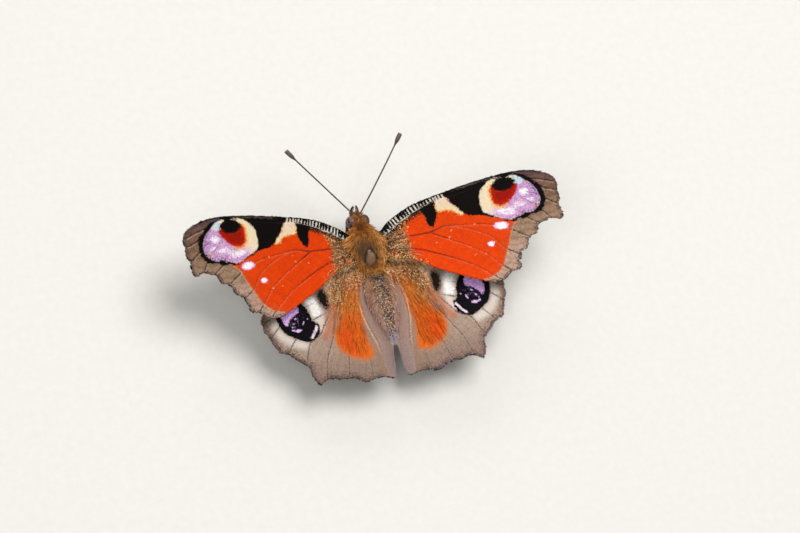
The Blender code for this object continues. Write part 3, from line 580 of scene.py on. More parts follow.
def fore_upper(points, hues, dice=None):
    """Colours of the forewing's upper side."""
    x, y = points[:, 0], points[:, 1]
    outline, leading, margin = WINGS["forewing"]["shape"]
    rim = path_distance(points, margin)[0]
    crest = path_distance(points, leading)[0]
    gap, beside = vein_gaps(points, "forewing")
    ray = np.arctan2(y - 1.0, x + 2.0)
    # Margin: grey brown, darker towards the tip, streaked along the veins
    coat = Coat(len(points), linear("#BC9C88"), dice)
    coat.glaze(linear("#A0826A"), ramp(y, -5.5, -3.0))
    coat.glaze(linear("#8C6E56"), ramp(y, -2.4, 0.2))
    coat.glaze(linear("#80614C"), ramp(y, 0.4, 2.0))
    coat.glaze(linear("#70524C"), ramp(y, 2.2, 4.4))
    coat.glaze(coat.tint * 1.3, 0.5 * mottle(x, y, 1.3))
    # Darker streaks between the veins: partly the margin's own streaking, partly painted shade of its pleats
    streak = np.sin(ray * 150.0 + 3.0 * mottle(x, y, 2.0))
    coat.glaze(coat.tint * 0.66, 0.7 * ramp(streak, 0.1, 0.9))
    coat.glaze(linear("#8E6258"), 0.5 * (1.0 - ramp(oval(points, (26.6, 3.5), (0.9, 0.5), -0.6), 0.4, 1.4)))
    coat.glaze(linear("#4E3C3E"), 0.7 * ramp(x, 21.5, 24.0) * ramp(y, 4.3, 5.1))
    coat.lay(coat.tint * 0.6, 0.22 * mottle(x, y, 0.5))
    coat.lay(linear("#5A453F"), 0.55 * (1.0 - ramp(rim, 0.08, 0.3)))
    near = 1.0 - ramp(gap, 0.07, 0.16)
    coat.glaze(linear("#2E1E18"), 0.85 * near)
    # A pale line just behind each vein in the margin is a painted highlight
    coat.glaze(linear("#D4BBA2"), 0.5 * (1.0 - ramp(beside, 0.03, 0.1)))
    # Red field
    red = depth_in(points, RED_FIELD)
    coat.lay(linear("#D9A06A"), 0.45 * ramp(red, -0.45, -0.1))
    coat.lay(linear("#D8502A"), ramp(red, -0.2, 0.06))
    coat.lay(hues.flame, ramp(red, -0.05, 0.3))
    on_red = ramp(red, -0.1, 0.1)
    coat.glaze(linear("#F24E04"), 0.5 * mottle(x, y, 3.5) * on_red)
    coat.glaze(linear("#C63A12"), 0.28 * mottle(x + 3.0, y, 1.6) * on_red)
    coat.lay(linear("#C9572E"), 0.3 * ramp(red, 1.3, 0.1) * on_red * ramp(x, 13.0, 17.0))
    fine = 1.0 - ramp(gap, 0.06, 0.16)
    coat.glaze(linear("#741404"), 0.85 * fine * on_red * (1.0 - 0.55 * ramp(x, 10.0, 14.0)))
    # A pale line just behind each vein on the red is a painted highlight
    coat.glaze(linear("#F98A5E"), 0.35 * (1.0 - ramp(beside, 0.03, 0.1)) * on_red * ramp(x, 8.0, 12.0))
    # Speckled root
    base = field(points, FORE_BASE, 0.9)
    coat.lay(linear("#94623F"), 0.85 * ramp(base, 0.25, 0.8))
    specks(coat, base, [(linear("#B8662E"), 0.5), (hues.gold, 0.36), (linear("#6E4630"), 0.28),
                        (linear("#E8BE90"), 0.2), (linear("#1A100C"), 0.26)])
    near_root = 1.0 - ramp(np.hypot(x - 1.5, y - 0.5), 1.5, 3.6)
    coat.lay(linear("#5E4438"), 0.55 * near_root)
    coat.lay(linear("#1E1410"), 0.3 * near_root)
    coat.glaze(linear("#3A1C10"), 0.7 * fine * base)
    # The leading edge: cream bars on black down to a silver line, then soot towards the tip
    silver = smooth_path(SILVER_LINE, 0.3)
    height = y - np.interp(x, silver[:, 0], silver[:, 1])
    strip = ramp(height, -0.04, 0.02) * (1.0 - ramp(x, 12.3, 12.8))
    under = (1.0 - ramp(np.abs(height + 0.4), 0.2, 0.55)) * ramp(x, 3.0, 4.5) * (1.0 - ramp(x, 10.6, 11.2))
    coat.lay(linear("#5A2C20"), 0.7 * under * ramp(x, 5.5, 7.5))
    coat.lay(linear("#2A1C16"), 0.45 * under)
    coat.lay(linear("#3A2A26"), 0.5 * (1.0 - ramp(crest, 0.0, 0.14)))
    coat.lay(hues.soot, (1.0 - ramp(np.abs(height + 0.12), 0.07, 0.14)) * (1.0 - ramp(x, 11.2, 11.6)))
    coat.lay(hues.soot, strip)
    beat = (x + 0.32 * height + 0.05 * np.sin(2.9 * x)) / BAR_STEP
    bar = np.abs(beat - np.round(beat)) * 2.0
    tone = np.sin(5.3 * np.round(beat))
    width = 0.36 + 0.1 * tone + 0.26 * ramp(x, 9.5, 11.8) - 0.22 * ramp(height, 0.3, 0.8) * (tone < 0.0)
    bars = ramp(width - bar, -0.04, 0.04) * ramp(crest, 0.1, 0.16) * ramp(x, 2.6, 3.4)
    coat.lay(linear("#DCD3C5"), 0.94 * bars * strip)
    line = (1.0 - ramp(np.abs(height), 0.04, 0.09)) * ramp(x, 2.4, 3.2) * (1.0 - ramp(x, 11.6, 12.2))
    coat.lay(linear("#CDBFB0"), 0.9 * line)
    # Black wedge, cream patch and black block
    coat.lay(linear("#6E4034"), 0.5 * field(points, BLACK_WEDGE, 0.3))
    coat.lay(linear("#0F0A08"), ramp(depth_in(points, BLACK_WEDGE), -0.1, 0.08) * (1.0 - strip))
    cream = depth_in(points, CREAM_PATCH)
    coat.lay(linear("#F0B860"), 0.8 * ramp(cream, -0.35, -0.03) * (1.0 - ramp(y, 3.5, 3.9)))
    coat.lay(linear("#EBD6B2"), ramp(cream, -0.08, 0.08) * (1.0 - 0.6 * strip))
    coat.lay(linear("#EBD0C4"), 0.45 * ramp(cream, 0.0, 0.1) * ramp(y, 3.2, 3.8))
    block = depth_in(points, BLACK_BLOCK)
    coat.lay(linear("#7A5A4E"), 0.4 * ramp(block, -0.25, -0.05) * ramp(cream, -0.1, 0.1))
    coat.lay(linear("#0F0A08"), ramp(block, -0.07, 0.07))
    coat.lay(linear("#0F0A08"), ramp(x, 12.4, 12.8) * (1.0 - ramp(crest, 0.55, 0.75)) * (1.0 - ramp(x, 21.0, 24.0)))
    coat.lay(linear("#5C4B46"), 0.7 * ramp(x, 13.0, 15.0) * (1.0 - ramp(crest, 0.2, 0.42)))
    coat.lay(linear("#14100E"), ramp(x, 12.3, 12.8) * (1.0 - ramp(crest, 0.06, 0.12)))
    # The eyespot: black ring, cream and lilac field, gold and crimson round a black pupil
    coat.lay(linear("#0B0707"), field(points, BLACK_RING, 0.14))
    eye = depth_in(points, EYE_FIELD)
    whole = ramp(eye, -0.12, 0.08)
    coat.lay(linear("#EDDDBC"), whole)
    lilac = ramp(x + 0.7 * (2.2 - y), 19.4, 21.6) * whole
    coat.lay(linear("#E6C8CE"), 0.8 * ramp(x + 1.2 * (1.5 - y), 18.2, 19.8) * whole)
    coat.lay(hues.lilac, lilac)
    coat.lay(linear("#AE9CD2"), 0.6 * ramp(x, 23.6, 25.6) * whole)
    coat.lay(linear("#C98FC0"), 0.4 * mottle(x, y, 0.9) * lilac)
    coat.lay(linear("#F6E6F6"), 0.14 * mottle(x + 5.0, y, 1.3) * lilac)
    coat.lay(linear("#8C6A9C"), 0.1 * lilac)
    for centre, radii, share in WHITE_BLOBS:
        coat.lay(linear("#FBF4FA"), share * (1.0 - ramp(oval(points, centre, radii, -0.25), 0.2, 2.2)) * whole)
    coat.lay(linear("#F3EACD"), field(points, ICE, 0.15) * whole)
    coat.lay(linear("#C4DEE6"), 0.9 * field(points, ICE, 0.15) * ramp(x, 22.5, 23.2))
    coat.lay(linear("#4A3450"), 0.45 * ramp(eye, 0.5, 0.0) * ramp(x + 0.5 * (0.5 - y), 22.0, 24.0) * whole)
    coat.lay(linear("#6B4A72"), 0.06 * lilac)
    moon = depth_in(points, CRIMSON_MOON)
    west = 1.0 - ramp(x, 20.8, 21.8)
    coat.lay(linear("#F3C06A"), 0.75 * ramp(moon, -0.75, -0.3) * west * whole)
    coat.lay(linear("#D8501E"), 0.85 * ramp(moon, -0.42, -0.02) * west * whole)
    coat.lay(linear("#C65A88"), 0.5 * ramp(moon, -0.4, 0.0) * (1.0 - west) * whole)
    coat.glaze(linear("#9C2F5C"), 0.75 * (1.0 - ramp(gap, 0.04, 0.1)) * lilac * ramp(moon, -0.6, -2.8))
    coat.lay(hues.crimson, ramp(moon, -0.12, 0.16))
    coat.lay(linear("#C4220A"), 0.55 * ramp(moon, -0.05, 0.1) * (1.0 - ramp(moon, 0.3, 0.7)))
    pupil = oval(points, *PUPIL)
    coat.lay(linear("#B0301A"), 0.6 * (1.0 - ramp(pupil, 1.3, 1.8)) * (1.0 - ramp(x, 21.2, 22.2)) * (1.0 - ramp(y, 4.2, 4.7)))
    coat.lay(linear("#2E0806"), 0.75 * (1.0 - ramp(pupil, 1.05, 1.5)) * (1.0 - ramp(y, 4.4, 5.0)))
    coat.lay(linear("#0D0808"), 1.0 - ramp(pupil, 0.7, 1.15))
    coat.lay(linear("#1A1210"), 0.6 * (1.0 - ramp(oval(points, (20.7, 5.35), (0.9, 0.3)), 0.6, 1.3)))
    dot = oval(points, (25.2, 0.25), (0.3, 0.26))
    coat.lay(linear("#D8A878"), 0.9 * (1.0 - ramp(dot, 0.8, 1.6)) * whole)
    coat.lay(linear("#2A1C22"), 0.95 * (1.0 - ramp(dot, 0.1, 0.35)) * whole)
    for centre, radii, turn in PALE_SPOTS:
        spot = oval(points, centre, radii, turn)
        coat.lay(linear("#B8607A"), 0.5 * (1.0 - ramp(spot, 0.9, 1.6)))
        coat.lay(linear("#F0C6E0"), 0.95 * (1.0 - ramp(spot, 0.65, 1.15)))
        coat.lay(linear("#FDF4F6"), 0.95 * (1.0 - ramp(spot, 0.15, 0.75)))
    for centre in FLECKS:
        coat.lay(linear("#F5A47A"), 0.9 * (1.0 - ramp(oval(points, centre, (0.2, 0.06), 0.5), 0.6, 1.4)))
    return coat.tint


def hind_upper(points, hues, dice=None):
    """Colours of the hindwing's upper side."""
    x, y = points[:, 0], points[:, 1]
    outline, leading, margin = WINGS["hindwing"]["shape"]
    rim = path_distance(points, margin)[0]
    gap, beside = vein_gaps(points, "hindwing")
    ray = np.arctan2(y - 1.0, x - 1.0)
    # Ground: grey brown, streaked along the veins, purplish at the margin
    coat = Coat(len(points), hues.umber, dice)
    coat.glaze(linear("#BBA491"), 0.4 * mottle(x, y, 2.2))
    coat.glaze(linear("#8A7060"), 0.6 * ramp(-y, 14.0, 19.0))
    streak = np.sin(ray * 120.0 + 3.0 * mottle(x, y, 2.0))
    coat.glaze(coat.tint * 0.8, 0.5 * ramp(streak, 0.1, 0.9))
    coat.lay(coat.tint * 0.7, 0.2 * mottle(x, y, 0.4))
    outer = 1.0 - ramp(rim, 0.2, 1.1)
    coat.lay(linear("#7C5F50"), 0.6 * outer)
    coat.lay(linear("#83788E"), 0.22 * outer * mottle(x, y, 0.8) * ramp(-y, 14.0, 17.0))
    coat.lay(linear("#5A4748"), 0.6 * (1.0 - ramp(rim, 0.06, 0.26)))
    pale = path_distance(points, smooth_path(PALE_OUTER, 0.3))[0]
    coat.glaze(linear("#E2D8CE"), 0.84 * (1.0 - ramp(pale, 0.1, 1.2)))
    soft = path_distance(points, smooth_path(WHITE_SOFT, 0.3))[0]
    coat.glaze(linear("#E2D6CC"), 0.85 * (1.0 - ramp(soft, 0.2, 1.2)))
    core = path_distance(points, smooth_path(WHITE_CORE, 0.3))[0]
    coat.glaze(linear("#D8CCC2"), 0.9 * (1.0 - ramp(core, 0.5, 1.7)))
    coat.lay(linear("#F6F2EE"), 0.97 * (1.0 - ramp(core, 0.35, 0.95)))
    # Darker where the forewing lies over the hindwing: mostly painted shadow of the forewing, partly the wing's own
    # browner colour
    coat.glaze(linear("#7A6254"), 0.45 * ramp(y + 0.55 * x, -0.9, 0.9) * ramp(x, 8.5, 10.0))
    base = field(points, HIND_BASE, 1.0)
    coat.lay(linear("#CDA486"), 0.7 * base)
    specks(coat, base, [(linear("#C87E40"), 0.6), (hues.gold, 0.36), (linear("#744A30"), 0.26),
                        (linear("#F4D2A4"), 0.26), (linear("#20130E"), 0.18)])
    coat.glaze(linear("#CDB0A0"), 0.6 * field(points, [(6.6, -2.6), (9.6, -3.6), (9.0, -5.2), (8.0, -5.8), (7.2, -4.0)], 0.8))
    smudge = depth_in(points, BLACK_SMUDGE)
    coat.glaze(linear("#5A463C"), 0.7 * ramp(smudge, -0.9, 0.0))
    coat.lay(linear("#1E1510"), ramp(smudge, -0.45, 0.2))
    # Orange field and the strand of orange hairs beside it
    patch = depth_in(points, ORANGE_PATCH)
    strand = path_distance(points, smooth_path(ORANGE_STRAND, 0.3))[0]
    coat.glaze(linear("#C26C42"), 0.62 * (1.0 - ramp(strand, 0.15, 1.1)))
    coat.glaze(linear("#B98260"), 0.8 * ramp(patch, -1.3, 0.0) * ramp(-y, 8.0, 11.0))
    coat.lay(linear("#CF6C22"), 0.75 * ramp(patch, -0.5, 0.4))
    coat.lay(hues.orange, ramp(patch, -0.5, 0.5) * ramp(-y, 8.5, 11.0))
    coat.glaze(linear("#EE5010"), 0.7 * ramp(patch, 0.1, 1.0) * ramp(-y, 11.0, 13.0) * ramp(x, 4.8, 6.8))
    coat.lay(hues.gold, 0.3 * ramp(patch, -0.2, 0.3) * (1.0 - ramp(-y, 8.0, 12.0)))
    # Inner fold, with painted shade and a painted highlight along its crease
    crease = smooth_path(CREASE, 0.3)
    order = np.argsort(crease[:, 1])
    beyond = x - np.interp(y, crease[order, 1], crease[order, 0])
    strip = (1.0 - ramp(beyond, -0.3, 0.15)) * ramp(-y, 4.5, 6.5)
    coat.glaze(linear("#9A7A66"), 0.7 * (1.0 - ramp(beyond, 0.4, 1.4)) * ramp(-y, 10.0, 13.0))
    coat.lay(linear("#AE8E80"), strip)
    coat.glaze(linear("#9C8A8A"), 0.6 * strip * ramp(-y, 13.0, 18.0))
    coat.glaze(coat.tint * 0.8, 0.5 * strip * mottle(x * 2.0, y * 0.5, 0.9))
    line = ramp(-y, 5.0, 8.0) * (1.0 - ramp(-y, 14.0, 18.0))
    # Dark line at the crease is painted shade; the pale line just outside it is a painted highlight on the fold's ridge
    coat.glaze(linear("#5C4036"), 0.5 * (1.0 - ramp(np.abs(beyond + 0.05), 0.04, 0.16)) * line)
    coat.glaze(linear("#E0C4A8"), 0.6 * (1.0 - ramp(np.abs(beyond - 0.12), 0.04, 0.16)) * line)
    # The eyespot
    eye = depth_in(points, HIND_EYE)
    coat.lay(linear("#0E0B10"), ramp(eye, -0.16, 0.1))
    lilac = ramp(depth_in(points, HIND_LILAC), -0.18, 0.2)
    coat.lay(linear("#E6A4FA"), 0.97 * lilac)
    coat.lay(linear("#FBE2FF"), 0.4 * lilac)
    low = ramp(-y - 0.62 * x, 0.3, 1.2)
    coat.lay(linear("#17101C"), (0.1 + 0.3 * low) * lilac)
    coat.lay(linear("#A884BE"), 0.07 * (1.0 - ramp(oval(points, (13.5, -9.7), (1.5, 0.9), -0.6), 0.5, 1.1)))
    for centre, radii, turn in HIND_GLINTS:
        coat.lay(linear("#E6C4F2"), 0.94 * (1.0 - ramp(oval(points, centre, radii, turn), 0.4, 1.5)))
    dash = path_distance(points, smooth_path(HIND_DASH, 0.2))[0]
    coat.lay(linear("#F4DDE8"), 0.95 * (1.0 - ramp(dash, 0.06, 0.3)) * ramp(mottle(x * 2.0, y * 2.0, 0.9), 0.02, 0.2))
    # Veins show as fine dark lines towards the margin, each with a pale line of painted highlight just behind it
    clear = ramp(np.hypot(x - 1.0, y - 1.0), 11.5, 14.5) * (1.0 - ramp(patch, -0.6, 0.2)) * (1.0 - ramp(eye, -0.2, 0.0))
    clear *= 1.0 - ramp(strip, 0.2, 0.8)
    coat.glaze(linear("#3C2A24"), 0.78 * (1.0 - ramp(gap, 0.05, 0.14)) * clear)
    coat.glaze(linear("#D8C6B6"), 0.35 * (1.0 - ramp(beside, 0.03, 0.1)) * clear)
    return coat.tint


def wing_under(points, hues, dice=None):
    """Underside of both wings: near black, finely barred like charred bark."""
    x, y = points[:, 0], points[:, 1]
    reach = np.hypot(x - 1.0, y + 0.5)
    coat = Coat(len(points), linear("#3A2C25"), dice)
    wave = np.sin(2.0 * math.pi * (reach / 0.8 + 0.35 * np.sin(1.3 * np.arctan2(y, x) * reach)))
    coat.lay(linear("#120C0B"), 0.55 * ramp(wave, 0.0, 0.8))
    coat.lay(linear("#66544A"), 0.4 * ramp(-wave, 0.2, 0.9))
    outer = ramp(reach, 16.5 + np.sin(0.9 * y), 18.0 + np.sin(0.9 * y))
    coat.lay(linear("#6E5C50"), 0.45 * outer)
    coat.lay(linear("#0E0A0A"), 0.8 * (1.0 - ramp(np.abs(reach - 17.0 - np.sin(0.9 * y)), 0.1, 0.4)))
    coat.lay(linear("#241C26"), 0.5 * ramp(reach, 20.0, 22.0))
    coat.lay(linear("#C8B48E"), 0.9 * (1.0 - ramp(np.hypot(x - 9.0, y + 8.0), 0.12, 0.3)))
    return coat.tint


WINGS = {
    "forewing": {"shape": fore_shape(), "lift": fore_lift, "veins": FORE_VEINS, "upper": fore_upper,
                 "focus": (-2.0, 1.0), "slot": "forewing_scales", "fine": [EYE_FIELD, COSTAL_STRIP]},
    "hindwing": {"shape": hind_shape(), "lift": hind_lift, "veins": HIND_VEINS, "upper": hind_upper,
                 "focus": (1.0, 1.0), "slot": "hindwing_scales", "fine": [HIND_EYE]},
}
for wing in WINGS.values():
    wing["vein_paths"] = [(smooth_path(path, 0.3), start, end) for path, start, end in wing["veins"]]


# ---------------------------------------------------------------- materials

def principled(name):
    finish = bpy.data.materials.new(name)
    finish.use_nodes = True
    tree = finish.node_tree
    return finish, tree, tree.nodes["Principled BSDF"]


def scale_finish():
    """Wing scales: chitin plates with fine ridges, dull, with a faint sheen at a low angle."""
    finish, tree, shader = principled("chitin wing scales")
    tint = add_node(tree, "ShaderNodeAttribute", attribute_name="tint", attribute_type="GEOMETRY")
    reach = add_node(tree, "ShaderNodeAttribute", attribute_name="patch", attribute_type="GEOMETRY")
    parts = add_node(tree, "ShaderNodeSeparateXYZ", {0: reach.outputs["Vector"]})
    # Each scale is darker towards its root: painted shade where the neighbouring scales overlap it
    shade = add_node(tree, "ShaderNodeMapRange", {"Value": parts.outputs["Y"], "From Min": 0.3, "From Max": 1.0,
                                                  "To Min": 0.7, "To Max": 1.04})
    dull = add_node(tree, "ShaderNodeVectorMath", {0: tint.outputs["Color"], "Scale": shade.outputs[0]}, operation="SCALE")
    tree.links.new(dull.outputs[0], shader.inputs["Base Color"])
    # Ridges along a scale, about 15 across it
    ridges = add_node(tree, "ShaderNodeMath", {0: parts.outputs["X"], 1: 95.0}, operation="MULTIPLY")
    wave = add_node(tree, "ShaderNodeMath", {0: ridges.outputs[0]}, operation="SINE")
    bump = add_node(tree, "ShaderNodeBump", {"Strength": 0.3, "Distance": 0.004 * MM, "Height": wave.outputs[0]})
    tree.links.new(bump.outputs[0], shader.inputs["Normal"])
    shader.inputs["Roughness"].default_value = 0.62
    shader.inputs["IOR"].default_value = 1.56
    shader.inputs["Specular IOR Level"].default_value = 0.05
    return finish


def sheet_finish():
    """Wing membrane and veins: thin chitin under the scales, its colour from the same markings."""
    finish, tree, shader = principled("chitin wing membrane")
    where = add_node(tree, "ShaderNodeTexCoord")
    tint = add_node(tree, "ShaderNodeAttribute", attribute_name="tint", attribute_type="GEOMETRY")
    # Grain about 0.15 mm across, as the sockets of the scales lie
    grain = add_node(tree, "ShaderNodeTexNoise", {"Vector": where.outputs["Object"], "Scale": 6500.0, "Detail": 2.0})
    shade = add_node(tree, "ShaderNodeMapRange", {"Value": grain.outputs[0], "To Min": 0.7, "To Max": 1.1})
    dull = add_node(tree, "ShaderNodeVectorMath", {0: tint.outputs["Color"], "Scale": shade.outputs[0]}, operation="SCALE")
    tree.links.new(dull.outputs[0], shader.inputs["Base Color"])
    bump = add_node(tree, "ShaderNodeBump", {"Strength": 0.4, "Distance": 0.02 * MM, "Height": grain.outputs[0]})
    tree.links.new(bump.outputs[0], shader.inputs["Normal"])
    shader.inputs["Roughness"].default_value = 0.6
    shader.inputs["IOR"].default_value = 1.56
    shader.inputs["Specular IOR Level"].default_value = 0.15
    return finish


def hair_finish():
    """Body fur: fine hollow hairs, dull; darker towards the roots as painted shade where the hairs cover each other,
    and a little lighter towards the tips.
    """
    finish, tree, shader = principled("golden brown hair")
    tint = add_node(tree, "ShaderNodeAttribute", attribute_name="tint", attribute_type="GEOMETRY")
    reach = add_node(tree, "ShaderNodeAttribute", attribute_name="patch", attribute_type="GEOMETRY")
    parts = add_node(tree, "ShaderNodeSeparateXYZ", {0: reach.outputs["Vector"]})
    # Painted shade: each hair is darkened towards its root
    shade = add_node(tree, "ShaderNodeMapRange", {"Value": parts.outputs["Y"], "To Min": 0.35, "To Max": 1.15})
    dull = add_node(tree, "ShaderNodeVectorMath", {0: tint.outputs["Color"], "Scale": shade.outputs[0]}, operation="SCALE")
    tree.links.new(dull.outputs[0], shader.inputs["Base Color"])
    shader.inputs["Roughness"].default_value = 0.68
    shader.inputs["IOR"].default_value = 1.55
    shader.inputs["Specular IOR Level"].default_value = 0.2
    return finish


def skin_finish():
    """Body skin: leathery dark chitin that shows between the hairs, finely wrinkled."""
    finish, tree, shader = principled("leathery body chitin")
    where = add_node(tree, "ShaderNodeTexCoord")
    tint = add_node(tree, "ShaderNodeAttribute", attribute_name="tint", attribute_type="GEOMETRY")
    # Wrinkles about 0.25 mm apart
    grain = add_node(tree, "ShaderNodeTexNoise", {"Vector": where.outputs["Object"], "Scale": 4000.0, "Detail": 4.0,
                                                  "Distortion": 0.6})
    shade = add_node(tree, "ShaderNodeMapRange", {"Value": grain.outputs[0], "To Min": 0.45, "To Max": 1.1})
    dull = add_node(tree, "ShaderNodeVectorMath", {0: tint.outputs["Color"], "Scale": shade.outputs[0]}, operation="SCALE")
    tree.links.new(dull.outputs[0], shader.inputs["Base Color"])
    bump = add_node(tree, "ShaderNodeBump", {"Strength": 0.6, "Distance": 0.06 * MM, "Height": grain.outputs[0]})
    tree.links.new(bump.outputs[0], shader.inputs["Normal"])
    shader.inputs["Roughness"].default_value = 0.55
    shader.inputs["IOR"].default_value = 1.56
    return finish


def horn_finish(name, dark, light, ring=0.0):
    """Horn of legs, feelers and proboscis: smooth brown chitin, satin, faintly streaked."""
    finish, tree, shader = principled(name)
    where = add_node(tree, "ShaderNodeTexCoord")
    # Streaks about 0.3 mm long
    grain = add_node(tree, "ShaderNodeTexNoise", {"Vector": where.outputs["Object"], "Scale": 3300.0, "Detail": 3.0})
    blend = add_node(tree, "ShaderNodeMix", {"A": (*linear(dark), 1.0), "B": (*linear(light), 1.0)}, data_type="RGBA")
    tree.links.new(grain.outputs[0], blend.inputs["Factor"])
    tree.links.new(blend.outputs["Result"], shader.inputs["Base Color"])
    bump = add_node(tree, "ShaderNodeBump", {"Strength": 0.3, "Distance": 0.015 * MM, "Height": grain.outputs[0]})
    tree.links.new(bump.outputs[0], shader.inputs["Normal"])
    shader.inputs["Roughness"].default_value = 0.42
    shader.inputs["IOR"].default_value = 1.56
    shader.inputs["Coat Weight"].default_value = ring
    return finish


def feeler_finish():
    """Feelers: dark horn with pale joints, the tint stored on the mesh."""
    finish, tree, shader = principled("ringed feeler horn")
    tint = add_node(tree, "ShaderNodeAttribute", attribute_name="tint", attribute_type="GEOMETRY")
    where = add_node(tree, "ShaderNodeTexCoord")
    # Fine scales about 0.1 mm across
    grain = add_node(tree, "ShaderNodeTexNoise", {"Vector": where.outputs["Object"], "Scale": 9000.0, "Detail": 1.0})
    shade = add_node(tree, "ShaderNodeMapRange", {"Value": grain.outputs[0], "To Min": 0.6, "To Max": 1.3})
    dull = add_node(tree, "ShaderNodeVectorMath", {0: tint.outputs["Color"], "Scale": shade.outputs[0]}, operation="SCALE")
    tree.links.new(dull.outputs[0], shader.inputs["Base Color"])
    shader.inputs["Roughness"].default_value = 0.5
    shader.inputs["IOR"].default_value = 1.56
    return finish


def eye_finish():
    """Compound eye: close hexagonal facets, purple brown with dark mottling, wet looking."""
    finish, tree, shader = principled("faceted compound eye")
    where = add_node(tree, "ShaderNodeTexCoord")
    # Facets are 0.02 mm wide and are drawn 0.07 mm wide so that they show
    facets = add_node(tree, "ShaderNodeTexVoronoi", {"Vector": where.outputs["Object"], "Scale": 14000.0, "Randomness": 0.35})
    patches = add_node(tree, "ShaderNodeTexNoise", {"Vector": where.outputs["Object"], "Scale": 2600.0, "Detail": 2.0})
    blend = add_node(tree, "ShaderNodeMix", {"A": (*linear("#1C0E10"), 1.0), "B": (*linear("#74504A"), 1.0)}, data_type="RGBA")
    steep = add_node(tree, "ShaderNodeMapRange", {"Value": patches.outputs[0], "From Min": 0.4, "From Max": 0.6})
    tree.links.new(steep.outputs[0], blend.inputs["Factor"])
    # Each facet has its own shine, drawn as paler and darker facets
    glint = add_node(tree, "ShaderNodeMapRange", {"Value": facets.outputs["Color"], "From Min": 0.62, "From Max": 0.9,
                                                  "To Max": 0.5})
    shine = add_node(tree, "ShaderNodeMix", {"B": (*linear("#94747E"), 1.0)}, data_type="RGBA")
    tree.links.new(glint.outputs[0], shine.inputs["Factor"])
    tree.links.new(blend.outputs["Result"], shine.inputs["A"])
    tree.links.new(shine.outputs["Result"], shader.inputs["Base Color"])
    bump = add_node(tree, "ShaderNodeBump", {"Strength": 0.5, "Distance": 0.02 * MM, "Height": facets.outputs["Distance"]},
                    invert=True)
    tree.links.new(bump.outputs[0], shader.inputs["Normal"])
    shader.inputs["Roughness"].default_value = 0.34
    shader.inputs["IOR"].default_value = 1.5
    shader.inputs["Specular IOR Level"].default_value = 0.35
    shader.inputs["Coat Weight"].default_value = 0.15
    shader.inputs["Coat Roughness"].default_value = 0.2
    return finish


# ---------------------------------------------------------------- coats by Geometry Nodes

def scale_shape():
    """A scale: narrow at its root, broad and rounded at its free end, as a closed thin wedge."""
    thick = 0.06
    points = [(0.0, 0.0, 0.0), (thick, -0.5, 0.78), (1.28 * thick, 0.0, 1.0), (thick, 0.5, 0.78), (-thick, 0.0, 0.7)]
    faces = [(0, 1, 2, 3), (4, 1, 0), (4, 2, 1), (4, 3, 2), (4, 0, 3)]
    return shape_object("scale shape", points, faces)


def hair_shape(name, bend, rings):
    """A hair: a closed three sided spike that bends over towards its tip. X is up, Z is along."""
    points = []
    faces = []
    for i in range(rings):
        part = i / rings
        for k in range(3):
            turn = 2.0 * math.pi * k / 3.0
            width = 1.0 - 0.55 * part
            points.append((0.05 * width * math.cos(turn) - bend * part * part, 0.5 * width * math.sin(turn), part))
    points.append((-bend, 0.0, 1.0))
    for i in range(rings - 1):
        for k in range(3):
            other = (k + 1) % 3
            faces.append((3 * i + k, 3 * i + other, 3 * i + 3 + other, 3 * i + 3 + k))
    last = 3 * (rings - 1)
    for k in range(3):
        faces.append((last + k, last + (k + 1) % 3, 3 * rings))
    faces.append((2, 1, 0))
    return shape_object(name, points, faces)


def shape_object(name, points, faces):
    shape = bmesh.new()
    made = [shape.verts.new(p) for p in points]
    for face in faces:
        shape.faces.new([made[i] for i in face])
    bmesh.ops.recalc_face_normals(shape, faces=shape.faces)
    mesh = bpy.data.meshes.new(name)
    shape.to_mesh(mesh)
    shape.free()
    spot = mesh.attributes.new("patch", "FLOAT_VECTOR", "POINT")
    flat = np.array([(y + 0.5, z, 0.0) for _, y, z in points], np.float32)
    spot.data.foreach_set("vector", flat.ravel())
    thing = bpy.data.objects.new(name, mesh)
    bpy.context.scene.collection.objects.link(thing)
    return thing


